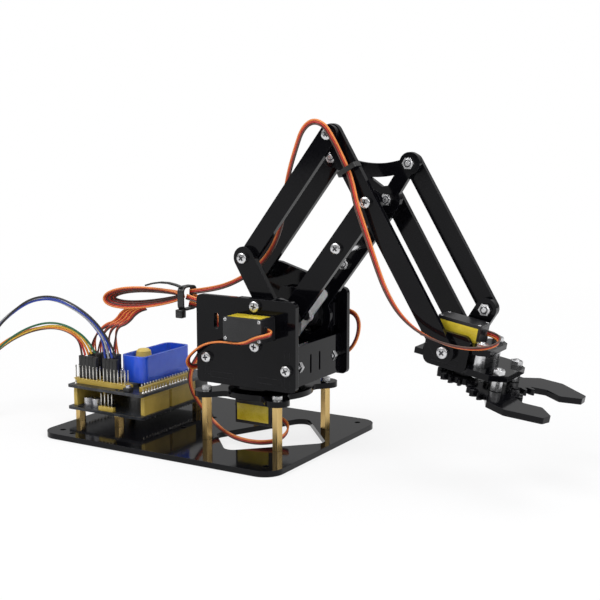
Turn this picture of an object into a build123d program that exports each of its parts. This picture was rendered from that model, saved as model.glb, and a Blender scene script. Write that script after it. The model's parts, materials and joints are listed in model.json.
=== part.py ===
import os
from math import acos, atan2, cos, degrees, hypot, pi, radians, sin, sqrt, tan

from build123d import *

# Desktop robot arm cut from 3 mm sheet: a turret on a base plate carries two shoulder servos,
# a double parallelogram arm that keeps its gripper level, and a geared two-jaw gripper.
# Frame: origin at the middle of the base plate's four corner holes on its underside, +X forward
# along the arm, +Y to the arm's left, +Z up. Sketches are set out from the turret's turning axis.

# Driving dimensions
plate = 3.0              # sheet thickness
layer = 3.3              # spacing of the plates along a pivot, with the washer
bolt_r = 1.5             # M3 shank
run_r = 1.58             # hole that turns on an M3 shank
head_r = 2.8             # pan head
head_h = 1.9
head_sunk = 1.3          # depth of a countersunk head
fit = 0.4                # play round a servo case in its opening
nut_flats = 5.5
nut_h = 2.2
spacer_r = 3.0
washer = layer - plate

upper_arm = 80.0         # shoulder to elbow
forearm = 82.0           # elbow to wrist
lever = 38.5             # shoulder to lever pivot, and elbow to the forearm's rear pivot
shoulder_angle = 53.0    # upper arm above the horizontal, as it stands
lever_angle = 121.0      # elbow lever, as it stands
level_rear = (-32.0, 20.9)   # fixed pivot from the shoulder
level_front = (12.0, 18.5)   # front pivot from the elbow and from the wrist
bar_width = 9.6
arm_width = 12.0
forearm_width = 10.4

base_length = 150.0
base_width = 114.0
turn_axis = (34.5, 3.0)   # turret axis from the middle of the base plate
base_corner = 10.0
mount_inset = 9.0
mount_r = 1.6

pillar_x = 22.0          # pillars stand at +/- these
pillar_y = 25.0
pillar_height = 24.0
pillar_flats = 5.0

shoulder_x = 17.0
shoulder_z = 67.5
box_half = 28.5          # half the width over the side panels
panel_rear = -25.5
panel_front = 35.0
panel_low = 35.0
panel_high = 81.5
floor_z = 38.3
front_panel_x = 28.5
rear_panel_x = -20.2

servo_long = 22.8        # micro servo case
servo_wide = 12.2
servo_depth = 15.9       # bottom of the case to the ears
servo_ear = 2.5
servo_ears_long = 32.2
servo_top = 4.1          # ears to the top of the case
servo_boss = 3.8
servo_spline = 3.1
spline_r = 2.4
run_fit = 0.05
servo_end = 5.9          # output axis to the nearer end of the case

gripper_tilt = 10.0      # nose down
gripper_y = 3.3          # middle of the gripper
lower_plate_top = -3.2   # heights in the gripper's own frame, wrist at 0
top_plate_top = 6.2
gear_teeth = 16
gear_module = 1.5
backlash = 0.12
grip_shaft_x = 7.4       # gripper servo shaft ahead of the wrist
near_jaw_angle = -14.0   # near jaw as it stands, outwards negative

lead_width = 3.0         # flat three-wire servo lead

os.makedirs("parts", exist_ok=True)


def polar(start, length, angle):
    """Point at a distance and an angle from another, in the arm's side view."""
    return (start[0] + length * cos(radians(angle)), start[1] + length * sin(radians(angle)))


def shifted(point, step):
    return (point[0] + step[0], point[1] + step[1])


def level(z):
    """Level plane at a height, set out from the turret axis."""
    return Plane(origin=(turn_axis[0], turn_axis[1], z), x_dir=(1, 0, 0), z_dir=(0, 0, 1))


def side(y, facing=-1):
    """Upright plane along the arm: sketch x is X, sketch y is Z up, or Z down when it faces +Y."""
    return Plane(origin=(turn_axis[0], turn_axis[1] + y, 0), x_dir=(1, 0, 0), z_dir=(0, facing, 0))


def across(x):
    """Upright plane across the arm, extruding towards +X: sketch x is Y, sketch y is Z."""
    return Plane(origin=(turn_axis[0] + x, turn_axis[1], 0), x_dir=(0, 1, 0), z_dir=(1, 0, 0))


# Pivots of the linkage in the side view, as (X, Z)
shoulder = (shoulder_x, shoulder_z)
elbow = polar(shoulder, upper_arm, shoulder_angle)
wrist = polar(elbow, forearm, lever_angle - 180)
lever_pivot = polar(shoulder, lever, lever_angle)
rear_pivot = polar(elbow, lever, lever_angle)
fixed_pivot = shifted(shoulder, level_rear)
level_rear_pivot = shifted(elbow, level_rear)
level_front_pivot = shifted(elbow, level_front)
gripper_pivot = shifted(wrist, level_front)

# Far faces of the plate layers, counted from the near side panel inwards
lever_y = -15.0
link_y = lever_y + layer
forearm_near_y = link_y + layer
upper_near_y = forearm_near_y + layer
triangle_y = 14.7
upper_far_y = triangle_y + layer
forearm_far_y = upper_far_y + layer

# Gripper frame: x forward along the gripper, z up, origin on the wrist axis
gripper_x = (cos(radians(gripper_tilt)), 0, -sin(radians(gripper_tilt)))
gripper_z = (sin(radians(gripper_tilt)), 0, cos(radians(gripper_tilt)))
wrist_origin = (turn_axis[0] + wrist[0], turn_axis[1] + gripper_y, wrist[1])


def gripper_plane(height, facing=1):
    """Level plane of the gripper at a height over the wrist; sketch x forward, sketch y to +Y."""
    origin = tuple(o + height * n for o, n in zip(wrist_origin, gripper_z))
    normal = tuple(facing * n for n in gripper_z)
    return Plane(origin=origin, x_dir=gripper_x, z_dir=normal)


def gripper_side(y):
    """Side plane of the gripper through the wrist, extruding towards -Y."""
    origin = (turn_axis[0] + wrist[0], turn_axis[1] + y, wrist[1])
    return Plane(origin=origin, x_dir=gripper_x, z_dir=(0, -1, 0))


def disc(plane, at, radius, height):
    """Round piece standing on a plane."""
    with BuildSketch(plane) as shape:
        with Locations(at):
            Circle(radius)
    extrude(shape.sketch, amount=height)


def nut(plane, at, height=nut_h):
    with BuildSketch(plane) as shape:
        with Locations(at):
            RegularPolygon(nut_flats / 2, 6, major_radius=False)
    extrude(shape.sketch, amount=height)


def drill(plane, places, radius, depth=plate):
    """Holes from a plane into whatever stands on it."""
    with BuildSketch(plane) as shape:
        with Locations(*places):
            Circle(radius)
    extrude(shape.sketch, amount=depth, mode=Mode.SUBTRACT)


def bar(start, end, width):
    """Round-ended bar between two pivots."""
    length = hypot(end[0] - start[0], end[1] - start[1])
    angle = degrees(atan2(end[1] - start[1], end[0] - start[0]))
    middle = ((start[0] + end[0]) / 2, (start[1] + end[1]) / 2)
    with Locations(middle):
        SlotCenterToCenter(length, width, rotation=angle)


def arc_band(start, end, width, sag):
    """Band that bends aside by sag between two points."""
    length = hypot(end[0] - start[0], end[1] - start[1])
    normal = (-(end[1] - start[1]) / length, (end[0] - start[0]) / length)
    edges = []
    for half in (width / 2, -width / 2):
        first = (start[0] + normal[0] * half, start[1] + normal[1] * half)
        last = (end[0] + normal[0] * half, end[1] + normal[1] * half)
        reach = sag + half
        middle = ((start[0] + end[0]) / 2 + normal[0] * reach, (start[1] + end[1]) / 2 + normal[1] * reach)
        edges.append((first, middle, last))
    with BuildLine() as edge:
        ThreePointArc(*edges[0])
        Line(edges[0][2], edges[1][2])
        ThreePointArc(*edges[1])
        Line(edges[1][0], edges[0][0])
    make_face(edge.edges())


def link_plate(far_face, start, end, width, holes):
    """Straight link with a hole at each end; holes gives their two radii."""
    with BuildSketch(side(far_face)) as shape:
        bar(start, end, width)
        for place, radius in zip((start, end), holes):
            with Locations(place):
                Circle(radius, mode=Mode.SUBTRACT)
    extrude(shape.sketch, amount=plate)


def across_bolt(at, head_face, nut_face, nut_height=nut_h, spacers=()):
    """Bolt along Y with its head outside head_face and its nut outside nut_face."""
    outward = 1 if head_face > nut_face else -1
    place = (at[0], -outward * at[1])
    opposite = (at[0], outward * at[1])
    disc(side(nut_face, outward), place, bolt_r, abs(head_face - nut_face))
    disc(side(head_face, outward), place, head_r, head_h)
    nut(side(nut_face, -outward), opposite, nut_height)
    for low, high in spacers:
        disc(side(low, 1), (at[0], -at[1]), spacer_r, high - low)


def micro_servo(plane):
    """Micro servo: plane origin on the output axis at the ears' lower face, z along the shaft,
    x along the case away from the shaft."""
    middle = servo_long / 2 - servo_end
    with BuildSketch(plane.offset(-servo_depth)) as shape:
        with Locations((middle, 0)):
            RectangleRounded(servo_long, servo_wide, 0.8)
    extrude(shape.sketch, amount=servo_depth + servo_ear + servo_top)
    with BuildSketch(plane) as shape:
        with Locations((middle, 0)):
            Rectangle(servo_ears_long, servo_wide)
        with Locations((middle - 14, 0), (middle + 14, 0)):
            Circle(1.1, mode=Mode.SUBTRACT)
    extrude(shape.sketch, amount=servo_ear)
    top = servo_ear + servo_top
    with BuildSketch(plane.offset(top)) as shape:
        Circle(servo_wide / 2 - 0.2)
        with Locations((servo_wide / 2 + 0.4, 0)):
            Circle(2.7)
    extrude(shape.sketch, amount=servo_boss)
    with BuildSketch(plane.offset(top + servo_boss)) as shape:
        Circle(spline_r)
    extrude(shape.sketch, amount=servo_spline)
    with BuildSketch(plane.offset(-servo_depth + 3)) as shape:
        with Locations((-servo_end - 0.6, 0)):
            Rectangle(1.2, 4.4)
    extrude(shape.sketch, amount=1.8)


def gear_outline(teeth, phase, kept=None):
    """Involute gear of the common module; kept limits the teeth to a span of directions."""
    pitch_r = gear_module * gear_teeth / 2
    base_r = pitch_r * cos(radians(20))
    root_r = pitch_r - 1.25 * gear_module
    tip_r = pitch_r + gear_module
    Circle(root_r + 0.05)

    def half_angle(radius):
        turn = acos(min(1.0, base_r / radius))
        lean = tan(radians(20)) - radians(20) - (tan(turn) - turn)
        return (pi / 2 - backlash / gear_module) / teeth + lean

    stations = (root_r - 0.4, base_r, pitch_r, pitch_r + 0.8 * gear_module / 2, tip_r)
    for index in range(teeth):
        centre = phase + 360 * index / teeth
        if kept and not kept[0] <= centre <= kept[1]:
            continue
        flank = [(radius, half_angle(max(radius, base_r))) for radius in stations]
        right = [(r * cos(radians(centre) - a), r * sin(radians(centre) - a)) for r, a in flank]
        left = [(r * cos(radians(centre) + a), r * sin(radians(centre) + a)) for r, a in flank]
        with BuildLine() as edge:
            Polyline(*right, *reversed(left), close=True)
        make_face(edge.edges())


def meshed(phase, direction):
    """Phase of a gear that meshes with another of a given phase, lying in a direction from it."""
    return 2 * direction + 180 - phase + 180 / gear_teeth


# Base: plate with a wide cable opening, pillars, servo plate and turning servo
opening = [(-24, -14), (-1, -39), (37, 0), (2, 40), (-6, 24)]
pillars = [(x, y) for x in (-pillar_x, pillar_x) for y in (-pillar_y, pillar_y)]
board_x = -87.3          # middle of the controller board
board_y = 2.3
board_size = (53.34, 68.58)
board_z = 9.0
board_holes = [(board_x - 24.1, board_y + 18.9), (board_x + 24.1, board_y + 20.2),
               (board_x + 8.9, board_y - 31.8), (board_x - 19.1, board_y - 31.8)]
servo_plate_z = plate + pillar_height
turn_ear_z = servo_plate_z - servo_ear

with BuildPart() as base_plate:
    with BuildSketch():
        RectangleRounded(base_length, base_width, base_corner)
        with GridLocations(base_length - 2 * mount_inset, base_width - 2 * mount_inset, 2, 2):
            Circle(mount_r, mode=Mode.SUBTRACT)
    extrude(amount=plate)
    with BuildSketch(level(0)) as cable_opening:
        with BuildLine():
            Polyline(*opening, close=True)
        make_face()
        fillet(cable_opening.vertices(), 5.5)
    extrude(amount=plate, mode=Mode.SUBTRACT)
    drill(level(0), pillars + board_holes, bolt_r)
    drill(level(0), [(-50, 45.5), (-44, 12.6), (-46, -14), (-91, -54)], mount_r)
    with BuildSketch(level(0)):
        with Locations(*pillars, *board_holes):
            Circle(head_r)
    extrude(amount=head_sunk, taper=45, mode=Mode.SUBTRACT)
base_plate.part.label = "base_plate"
export_step(base_plate.part, "parts/base_plate.step")

with BuildPart() as base_pillars:
    with BuildSketch(level(plate)):
        with Locations(*pillars):
            RegularPolygon(pillar_flats / 2, 6, major_radius=False)
            Circle(bolt_r, mode=Mode.SUBTRACT)
    extrude(amount=pillar_height)
    with BuildSketch(level(plate)):
        with Locations(*board_holes):
            RegularPolygon(pillar_flats / 2, 6, major_radius=False)
            Circle(bolt_r, mode=Mode.SUBTRACT)
    extrude(amount=board_z - plate)
base_pillars.part.label = "base_pillars"
export_step(base_pillars.part, "parts/base_pillars.step")


def sunk_screws(places, length):
    """Countersunk screws flush with the underside."""
    with BuildSketch(level(0)) as shape:
        with Locations(*places):
            Circle(head_r)
    extrude(shape.sketch, amount=head_sunk, taper=45)
    with BuildSketch(level(0)) as shape:
        with Locations(*places):
            Circle(bolt_r)
    extrude(shape.sketch, amount=length)


def pan_screws(plane, places, length):
    """Pan-head screws through a plate, heads on the plane."""
    with BuildSketch(plane) as shape:
        with Locations(*places):
            Circle(head_r)
    extrude(shape.sketch, amount=head_h, taper=8)
    with BuildSketch(plane) as shape:
        with Locations(*places):
            Circle(bolt_r)
    extrude(shape.sketch, amount=-length)


with BuildPart() as base_screws:
    sunk_screws(pillars, plate + 6)
    sunk_screws(board_holes, plate + 4)
    pan_screws(level(servo_plate_z + plate), pillars, plate + 6)
base_screws.part.label = "base_screws"
export_step(base_screws.part, "parts/base_screws.step")

case_middle = servo_end - servo_long / 2     # case middle from the shaft
ear_span = 28.0

with BuildPart() as servo_plate:
    with BuildSketch(level(servo_plate_z)) as cross:
        Circle(25)
        for pillar in pillars:
            bar((0, 0), pillar, 13)
        fillet([v for v in cross.vertices() if 20 < hypot(v.X, v.Y) < 28], 4)
        with Locations((case_middle, 0)):
            Rectangle(servo_long + fit, servo_wide + fit, mode=Mode.SUBTRACT)
    extrude(amount=plate)
    drill(level(servo_plate_z), pillars, bolt_r)
    drill(level(servo_plate_z), [(case_middle - ear_span / 2, 0), (case_middle + ear_span / 2, 0)], 1.0)
servo_plate.part.label = "servo_plate"
export_step(servo_plate.part, "parts/servo_plate.step")

with BuildPart() as base_servo:
    micro_servo(Plane(origin=(turn_axis[0], turn_axis[1], turn_ear_z), x_dir=(-1, 0, 0), z_dir=(0, 0, 1)))
base_servo.part.label = "base_servo"
export_step(base_servo.part, "parts/base_servo.step")

# Controller: board, stacked shield, headers, a plug-in receiver in an open translucent shell
shield_z = 21.6
board_t = 1.6
header_x = 24.1
pin_strip_y = -24.5      # long pin strip of the shield
servo_pins_y = -13.5     # pins of the servo plugs
housing_h = 13.5
shell_size = (17.0, 44.0, 15.0)
shell_at = (9.0, 2.0)
shell_z = 25.5

with BuildPart() as controller_board:
    with BuildSketch(level(board_z)):
        with Locations((board_x, board_y)):
            RectangleRounded(*board_size, 1.5)
        with Locations(*board_holes):
            Circle(1.6, mode=Mode.SUBTRACT)
    extrude(amount=board_t)
    with BuildSketch(level(board_z + board_t)):
        with Locations((board_x + 6, board_y + 2)):
            Rectangle(9, 9)
        with Locations((board_x - 12, board_y + 20), (board_x - 4, board_y - 22)):
            Rectangle(4, 5)
    extrude(amount=1.4)
controller_board.part.label = "controller_board"
export_step(controller_board.part, "parts/controller_board.step")

with BuildPart() as board_ports:
    with BuildSketch(level(board_z + board_t)):
        with Locations((board_x - 15.5, board_y + 30.5)):
            Rectangle(12, 16)
    extrude(amount=shield_z - board_z - board_t - 0.6)
    with BuildSketch(level(board_z + board_t)):
        with Locations((board_x + 15.5, board_y + 30.5)):
            Rectangle(9, 13.5)
    extrude(amount=10.2)
board_ports.part.label = "board_ports"
export_step(board_ports.part, "parts/board_ports.step")

with BuildPart() as board_headers:
    with BuildSketch(level(board_z + board_t)):
        for x in (board_x - header_x, board_x + header_x):
            with Locations((x, board_y - 19.0), (x, board_y + 6.0)):
                Rectangle(2.5, 22.5)
    extrude(amount=8.5)
board_headers.part.label = "board_headers"
export_step(board_headers.part, "parts/board_headers.step")

with BuildPart() as shield_board:
    with BuildSketch(level(shield_z)):
        with Locations((board_x, board_y)):
            RectangleRounded(*board_size, 1.5)
    extrude(amount=board_t)
shield_board.part.label = "shield_board"
export_step(shield_board.part, "parts/shield_board.step")

with BuildPart() as shield_pins:
    with BuildSketch(level(shield_z)):
        for x in (board_x - header_x, board_x + header_x):
            with Locations((x, board_y - 19.0), (x, board_y + 6.0)):
                Rectangle(2.4, 22.4)
    extrude(amount=-(shield_z - board_z - board_t - 8.5))
    with BuildSketch(level(shield_z + board_t)):
        with Locations((board_x - 6, pin_strip_y)):
            Rectangle(38, 5.0)
        with Locations((board_x - 14.5, servo_pins_y)):
            Rectangle(22, 7.5)
        with Locations((board_x + 21.5, board_y - 5)):
            Rectangle(2.4, 46)
    extrude(amount=2.5)
    with BuildSketch(level(shield_z + board_t)):
        with Locations((board_x + shell_at[0], board_y + shell_at[1])):
            Rectangle(10.5, 20.5)
    extrude(amount=shell_z - shield_z - board_t)
shield_pins.part.label = "shield_pins"
export_step(shield_pins.part, "parts/shield_pins.step")

housing_z = shield_z + board_t + 2.5
housing_top = housing_z + housing_h
housing_xs = [-110.0, -104.5, -99.0, -93.5]
jumper_plugs_at = [(-104.0, 12.6), (-88.0, 10.1)]

with BuildPart() as plug_housings:
    with BuildSketch(level(housing_z)):
        for x in housing_xs:
            with Locations((x, servo_pins_y)):
                Rectangle(2.5, 7.5)
        for x, wide in jumper_plugs_at:
            with Locations((x, pin_strip_y)):
                Rectangle(wide, 2.5)
    extrude(amount=housing_h)
plug_housings.part.label = "plug_housings"
export_step(plug_housings.part, "parts/plug_housings.step")

with BuildPart() as receiver_shell:
    with BuildSketch(level(shell_z)):
        with Locations((board_x + shell_at[0], board_y + shell_at[1])):
            RectangleRounded(shell_size[0], shell_size[1], 4)
    extrude(amount=shell_size[2])
    offset(amount=-1.2, openings=receiver_shell.faces().sort_by(Axis.Z)[-1])
receiver_shell.part.label = "receiver_shell"
export_step(receiver_shell.part, "parts/receiver_shell.step")

with BuildPart() as receiver_module:
    with BuildSketch(level(shell_z + 1.2)):
        with Locations((board_x + shell_at[0], board_y + shell_at[1] + 1)):
            RectangleRounded(12.5, 38, 1)
    extrude(amount=8)
receiver_module.part.label = "receiver_module"
export_step(receiver_module.part, "parts/receiver_module.step")


# Turret: disc, box of tabbed panels, floor plate and the two shoulder servos in their collars
disc_z = 31.4            # under the disc, clear of the base servo's case
disc_hole_r = 9.8        # clears the servo's raised gear cover
disc_bolts = [(0, -15), (0, 15), (-14, 0), (14, 0)]
box_inner = box_half - plate
collar = 2.5
collar_face = box_inner - servo_ear - collar
servo_bolt_z = 10.3      # clamp bolts above and below the shaft
servo_mid_x = shoulder_x + case_middle
front_tabs = [(50.5, 56.2), (36.7, 42.3)]
rear_tabs = [(39.4, 44.0)]
floor_tabs = [(-16.8, -2.4), (12.1, 27.0)]
front_bolt_z = 46.3
rear_bolt_z = 48.6
slot_nut_y = 17.5        # captive nut in the panel's T-slot
clamp_points = [(servo_mid_x, shoulder_z + servo_bolt_z), (servo_mid_x, shoulder_z - servo_bolt_z)]

with BuildPart() as turret_disc:
    with BuildSketch(level(disc_z)):
        Circle(21)
        Circle(disc_hole_r, mode=Mode.SUBTRACT)
        with Locations(*disc_bolts):
            Circle(bolt_r, mode=Mode.SUBTRACT)
    extrude(amount=plate)
turret_disc.part.label = "turret_disc"
export_step(turret_disc.part, "parts/turret_disc.step")

spline_top = turn_ear_z + servo_ear + servo_top + servo_boss + servo_spline
with BuildPart() as turret_horn:
    with BuildSketch(level(floor_z - 1.8)):
        SlotOverall(24, 5.6, rotation=45)
    extrude(amount=1.8)
    disc(level(spline_top - servo_spline + 0.2), (0, 0), 3.4, floor_z - spline_top + servo_spline - 0.2)
    drill(level(spline_top - servo_spline + 0.2), [(0, 0)], spline_r + run_fit, servo_spline)
turret_horn.part.label = "turret_horn"
export_step(turret_horn.part, "parts/turret_horn.step")

with BuildPart() as floor_plate:
    with BuildSketch(level(floor_z)):
        with Locations(((rear_panel_x + plate + front_panel_x) / 2, 0)):
            Rectangle(front_panel_x - rear_panel_x - plate, 2 * box_inner)
        for low, high in floor_tabs:
            with Locations(((low + high) / 2, 0)):
                Rectangle(high - low, 2 * box_half)
        with Locations(*disc_bolts):
            Circle(bolt_r, mode=Mode.SUBTRACT)
        with Locations((0, 0)):
            Circle(2.2, mode=Mode.SUBTRACT)
    extrude(amount=plate)
floor_plate.part.label = "floor_plate"
export_step(floor_plate.part, "parts/floor_plate.step")


def cross_panel(x, low, high, tabs, bolt_z, slots):
    """Panel between the side panels with tabs, T-slots for captive nuts and upright slots."""
    with BuildSketch(across(x)) as shape:
        with Locations((0, (low + high) / 2)):
            Rectangle(2 * box_inner, high - low)
        for bottom, top in tabs:
            with Locations((0, (bottom + top) / 2)):
                Rectangle(2 * box_half, top - bottom)
        for edge in (-1, 1):
            with Locations((edge * (box_inner - 5), bolt_z)):
                Rectangle(10, 2 * bolt_r + 0.2, mode=Mode.SUBTRACT)
            with Locations((edge * slot_nut_y, bolt_z)):
                Rectangle(nut_h + 0.2, nut_flats + 0.2, mode=Mode.SUBTRACT)
        for place in slots:
            with Locations((place, 46.5)):
                SlotCenterToCenter(8.5, 1.6, rotation=90, mode=Mode.SUBTRACT)
    extrude(shape.sketch, amount=plate)


with BuildPart() as front_panel:
    cross_panel(front_panel_x, 36.5, 57.5, front_tabs, front_bolt_z, (-7.2, 2.0))
    fillet(front_panel.edges().filter_by(Axis.X).group_by(Axis.Z)[-1], 1.0)
front_panel.part.label = "front_panel"
export_step(front_panel.part, "parts/front_panel.step")

with BuildPart() as rear_panel:
    cross_panel(rear_panel_x, 36.5, 54.0, rear_tabs, rear_bolt_z, ())
rear_panel.part.label = "rear_panel"
export_step(rear_panel.part, "parts/rear_panel.step")


def panel_cuts():
    """Openings shared by both side panels: servo case, tab slots and bolt holes."""
    with Locations((servo_mid_x, shoulder_z)):
        Rectangle(servo_long + fit, servo_wide + fit, mode=Mode.SUBTRACT)
    for x, tabs in ((front_panel_x, front_tabs), (rear_panel_x, rear_tabs)):
        for low, high in tabs:
            with Locations((x + plate / 2, (low + high) / 2)):
                Rectangle(plate, high - low, mode=Mode.SUBTRACT)
    for low, high in floor_tabs:
        with Locations(((low + high) / 2, floor_z + plate / 2)):
            Rectangle(high - low, plate, mode=Mode.SUBTRACT)
    bolts = [(front_panel_x + plate / 2, front_bolt_z), (rear_panel_x + plate / 2, rear_bolt_z)]
    with Locations(*clamp_points, *bolts):
        Circle(bolt_r, mode=Mode.SUBTRACT)


with BuildPart() as side_panel_near:
    with BuildSketch(side(-box_inner)):
        with Locations(((panel_rear + panel_front) / 2, (panel_low + panel_high) / 2)):
            RectangleRounded(panel_front - panel_rear, panel_high - panel_low, 3)
        panel_cuts()
        with Locations((-13, 68.2)):
            SlotOverall(8.6, 3, rotation=90, mode=Mode.SUBTRACT)
    extrude(amount=plate)
side_panel_near.part.label = "side_panel_near"
export_step(side_panel_near.part, "parts/side_panel_near.step")

far_outline = [(panel_rear, panel_low), (panel_front, panel_low), (panel_front, panel_high),
               (fixed_pivot[0] + 8, fixed_pivot[1] + 5.5), (fixed_pivot[0] - 3, fixed_pivot[1] + 6.5),
               (panel_rear, fixed_pivot[1] - 2)]
with BuildPart() as side_panel_far:
    with BuildSketch(side(box_half)) as far_sketch:
        with BuildLine():
            Polyline(*far_outline, close=True)
        make_face()
        fillet(far_sketch.vertices(), 3)
        panel_cuts()
        with Locations(fixed_pivot):
            Circle(bolt_r, mode=Mode.SUBTRACT)
    extrude(amount=plate)
side_panel_far.part.label = "side_panel_far"
export_step(side_panel_far.part, "parts/side_panel_far.step")

with BuildPart() as servo_collars:
    for face in (-collar_face, box_inner - servo_ear):
        with BuildSketch(side(face)):
            with Locations((servo_mid_x, shoulder_z)):
                RectangleRounded(33, 27, 3)
                Rectangle(servo_long + fit, servo_wide + fit, mode=Mode.SUBTRACT)
            with Locations(*clamp_points):
                Circle(bolt_r, mode=Mode.SUBTRACT)
        extrude(amount=collar)
servo_collars.part.label = "servo_collars"
export_step(servo_collars.part, "parts/servo_collars.step")

with BuildPart() as turret_bolts:
    for point in clamp_points:
        across_bolt(point, -box_half, -collar_face)
        across_bolt(point, box_half, collar_face)
    for x, z in ((front_panel_x, front_bolt_z), (rear_panel_x, rear_bolt_z)):
        for end in (-1, 1):
            middle = (x + plate / 2, z)
            disc(side(end * box_half, end), (middle[0], -end * middle[1]), head_r, head_h)
            disc(side(end * (slot_nut_y - 2), end), (middle[0], -end * middle[1]), bolt_r,
                 box_half - slot_nut_y + 2)
            nut(side(end * (slot_nut_y - nut_h / 2), end), (middle[0], -end * middle[1]))
    with BuildSketch(level(disc_z + plate)):
        with Locations(*disc_bolts):
            Circle(spacer_r)
    extrude(amount=floor_z - disc_z - plate)
    with BuildSketch(level(disc_z)):
        with Locations(*disc_bolts):
            Circle(bolt_r)
    extrude(amount=floor_z + plate - disc_z)
    pan_screws(level(floor_z + plate), disc_bolts, 0.5)
turret_bolts.part.label = "turret_bolts"
export_step(turret_bolts.part, "parts/turret_bolts.step")

shoulder_origin = (turn_axis[0] + shoulder_x, turn_axis[1], shoulder_z)
with BuildPart() as servo_near:
    micro_servo(Plane(origin=(shoulder_origin[0], turn_axis[1] - box_inner, shoulder_z),
                      x_dir=(-1, 0, 0), z_dir=(0, 1, 0)))
servo_near.part.label = "servo_near"
export_step(servo_near.part, "parts/servo_near.step")

with BuildPart() as servo_far:
    micro_servo(Plane(origin=(shoulder_origin[0], turn_axis[1] + box_inner, shoulder_z),
                      x_dir=(-1, 0, 0), z_dir=(0, -1, 0)))
servo_far.part.label = "servo_far"
export_step(servo_far.part, "parts/servo_far.step")

with BuildPart() as fixed_pivot_bolt:
    across_bolt(fixed_pivot, box_half, upper_far_y - plate, spacers=[(upper_far_y + washer, box_inner)])
fixed_pivot_bolt.part.label = "fixed_pivot_bolt"
export_step(fixed_pivot_bolt.part, "parts/fixed_pivot_bolt.step")

# Upper arm: two plates joined by a spacer bolt, driven by the far servo's horn
cross_bolt = polar(shoulder, 50.0, shoulder_angle)
small_bolt = polar(shoulder, 36.6, shoulder_angle)
ring_r = 13.5            # plate end round a servo's gear cover
boss_clear_r = 9.7
spline_face = box_inner - servo_ear - servo_top - servo_boss   # outer end of the gear cover

with BuildPart() as upper_arm_near:
    with BuildSketch(side(upper_near_y)):
        bar(shoulder, elbow, arm_width)
        with Locations(elbow, cross_bolt, shoulder):
            Circle(bolt_r, mode=Mode.SUBTRACT)
    extrude(amount=plate)
upper_arm_near.part.label = "upper_arm_near"
export_step(upper_arm_near.part, "parts/upper_arm_near.step")

with BuildPart() as upper_arm_far:
    with BuildSketch(side(upper_far_y)):
        bar(shoulder, elbow, arm_width)
        with Locations(shoulder):
            Circle(ring_r)
            Circle(boss_clear_r, mode=Mode.SUBTRACT)
        with Locations(elbow, cross_bolt, small_bolt):
            Circle(bolt_r, mode=Mode.SUBTRACT)
    extrude(amount=plate)
upper_arm_far.part.label = "upper_arm_far"
export_step(upper_arm_far.part, "parts/upper_arm_far.step")


def servo_horn(inner_face, facing, reach, angle):
    """Two-armed horn on a shoulder servo's spline, lying on a plate's inner face."""
    hub_top = spline_face - 0.2
    with BuildSketch(side(facing * inner_face, -facing)) as shape:
        with Locations((shoulder_x, facing * shoulder_z)):
            SlotOverall(2 * reach, 5.4, rotation=facing * angle)
    extrude(shape.sketch, amount=1.8)
    disc(side(facing * (inner_face - 2.4), facing), (shoulder_x, -facing * shoulder_z), 3.5,
         hub_top - inner_face + 2.4)
    with BuildSketch(side(facing * (spline_face - servo_spline - 0.2), facing)) as shape:
        with Locations((shoulder_x, -facing * shoulder_z)):
            Circle(spline_r + run_fit)
    extrude(shape.sketch, amount=servo_spline + 0.5, mode=Mode.SUBTRACT)


with BuildPart() as shoulder_horn:
    servo_horn(upper_far_y - plate, 1, 17.8, shoulder_angle)
shoulder_horn.part.label = "shoulder_horn"
export_step(shoulder_horn.part, "parts/shoulder_horn.step")

with BuildPart() as arm_bolts:
    across_bolt(cross_bolt, upper_near_y - plate, upper_far_y,
                spacers=[(upper_near_y, upper_far_y - plate)])
    across_bolt(small_bolt, upper_far_y, upper_far_y - plate)
    across_bolt(elbow, forearm_far_y, triangle_y - plate)
    across_bolt(elbow, forearm_near_y - plate, upper_near_y)
arm_bolts.part.label = "arm_bolts"
export_step(arm_bolts.part, "parts/arm_bolts.step")

# Elbow drive: lever on the near servo, link up to the forearm's rear end
with BuildPart() as elbow_lever:
    with BuildSketch(side(lever_y)):
        bar(shoulder, lever_pivot, arm_width)
        with Locations(shoulder):
            Circle(ring_r)
            Circle(boss_clear_r, mode=Mode.SUBTRACT)
        with Locations(lever_pivot):
            Circle(run_r, mode=Mode.SUBTRACT)
    extrude(amount=plate)
elbow_lever.part.label = "elbow_lever"
export_step(elbow_lever.part, "parts/elbow_lever.step")

with BuildPart() as elbow_horn:
    servo_horn(-lever_y, -1, 15.0, lever_angle)
elbow_horn.part.label = "elbow_horn"
export_step(elbow_horn.part, "parts/elbow_horn.step")

with BuildPart() as lever_bolt:
    across_bolt(lever_pivot, lever_y - plate, link_y)
lever_bolt.part.label = "lever_bolt"
export_step(lever_bolt.part, "parts/lever_bolt.step")

with BuildPart() as drive_link:
    link_plate(link_y, lever_pivot, rear_pivot, bar_width, (run_r, run_r))
drive_link.part.label = "drive_link"
export_step(drive_link.part, "parts/drive_link.step")

# Levelling linkage: two links and a triangle keep the gripper at its angle
with BuildPart() as rear_level_link:
    link_plate(upper_far_y, fixed_pivot, level_rear_pivot, bar_width, (run_r, run_r))
rear_level_link.part.label = "rear_level_link"
export_step(rear_level_link.part, "parts/rear_level_link.step")

with BuildPart() as level_triangle:
    with BuildSketch(side(triangle_y)):
        bar(elbow, level_rear_pivot, 7.5)
        bar(elbow, level_front_pivot, 7.5)
        arc_band(level_rear_pivot, level_front_pivot, 7.0, -5.0)
        with Locations(elbow):
            Circle(7.0)
            Circle(run_r, mode=Mode.SUBTRACT)
        with Locations(level_rear_pivot, level_front_pivot):
            Circle(5.6)
            Circle(bolt_r, mode=Mode.SUBTRACT)
    extrude(amount=plate)
level_triangle.part.label = "level_triangle"
export_step(level_triangle.part, "parts/level_triangle.step")

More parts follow.
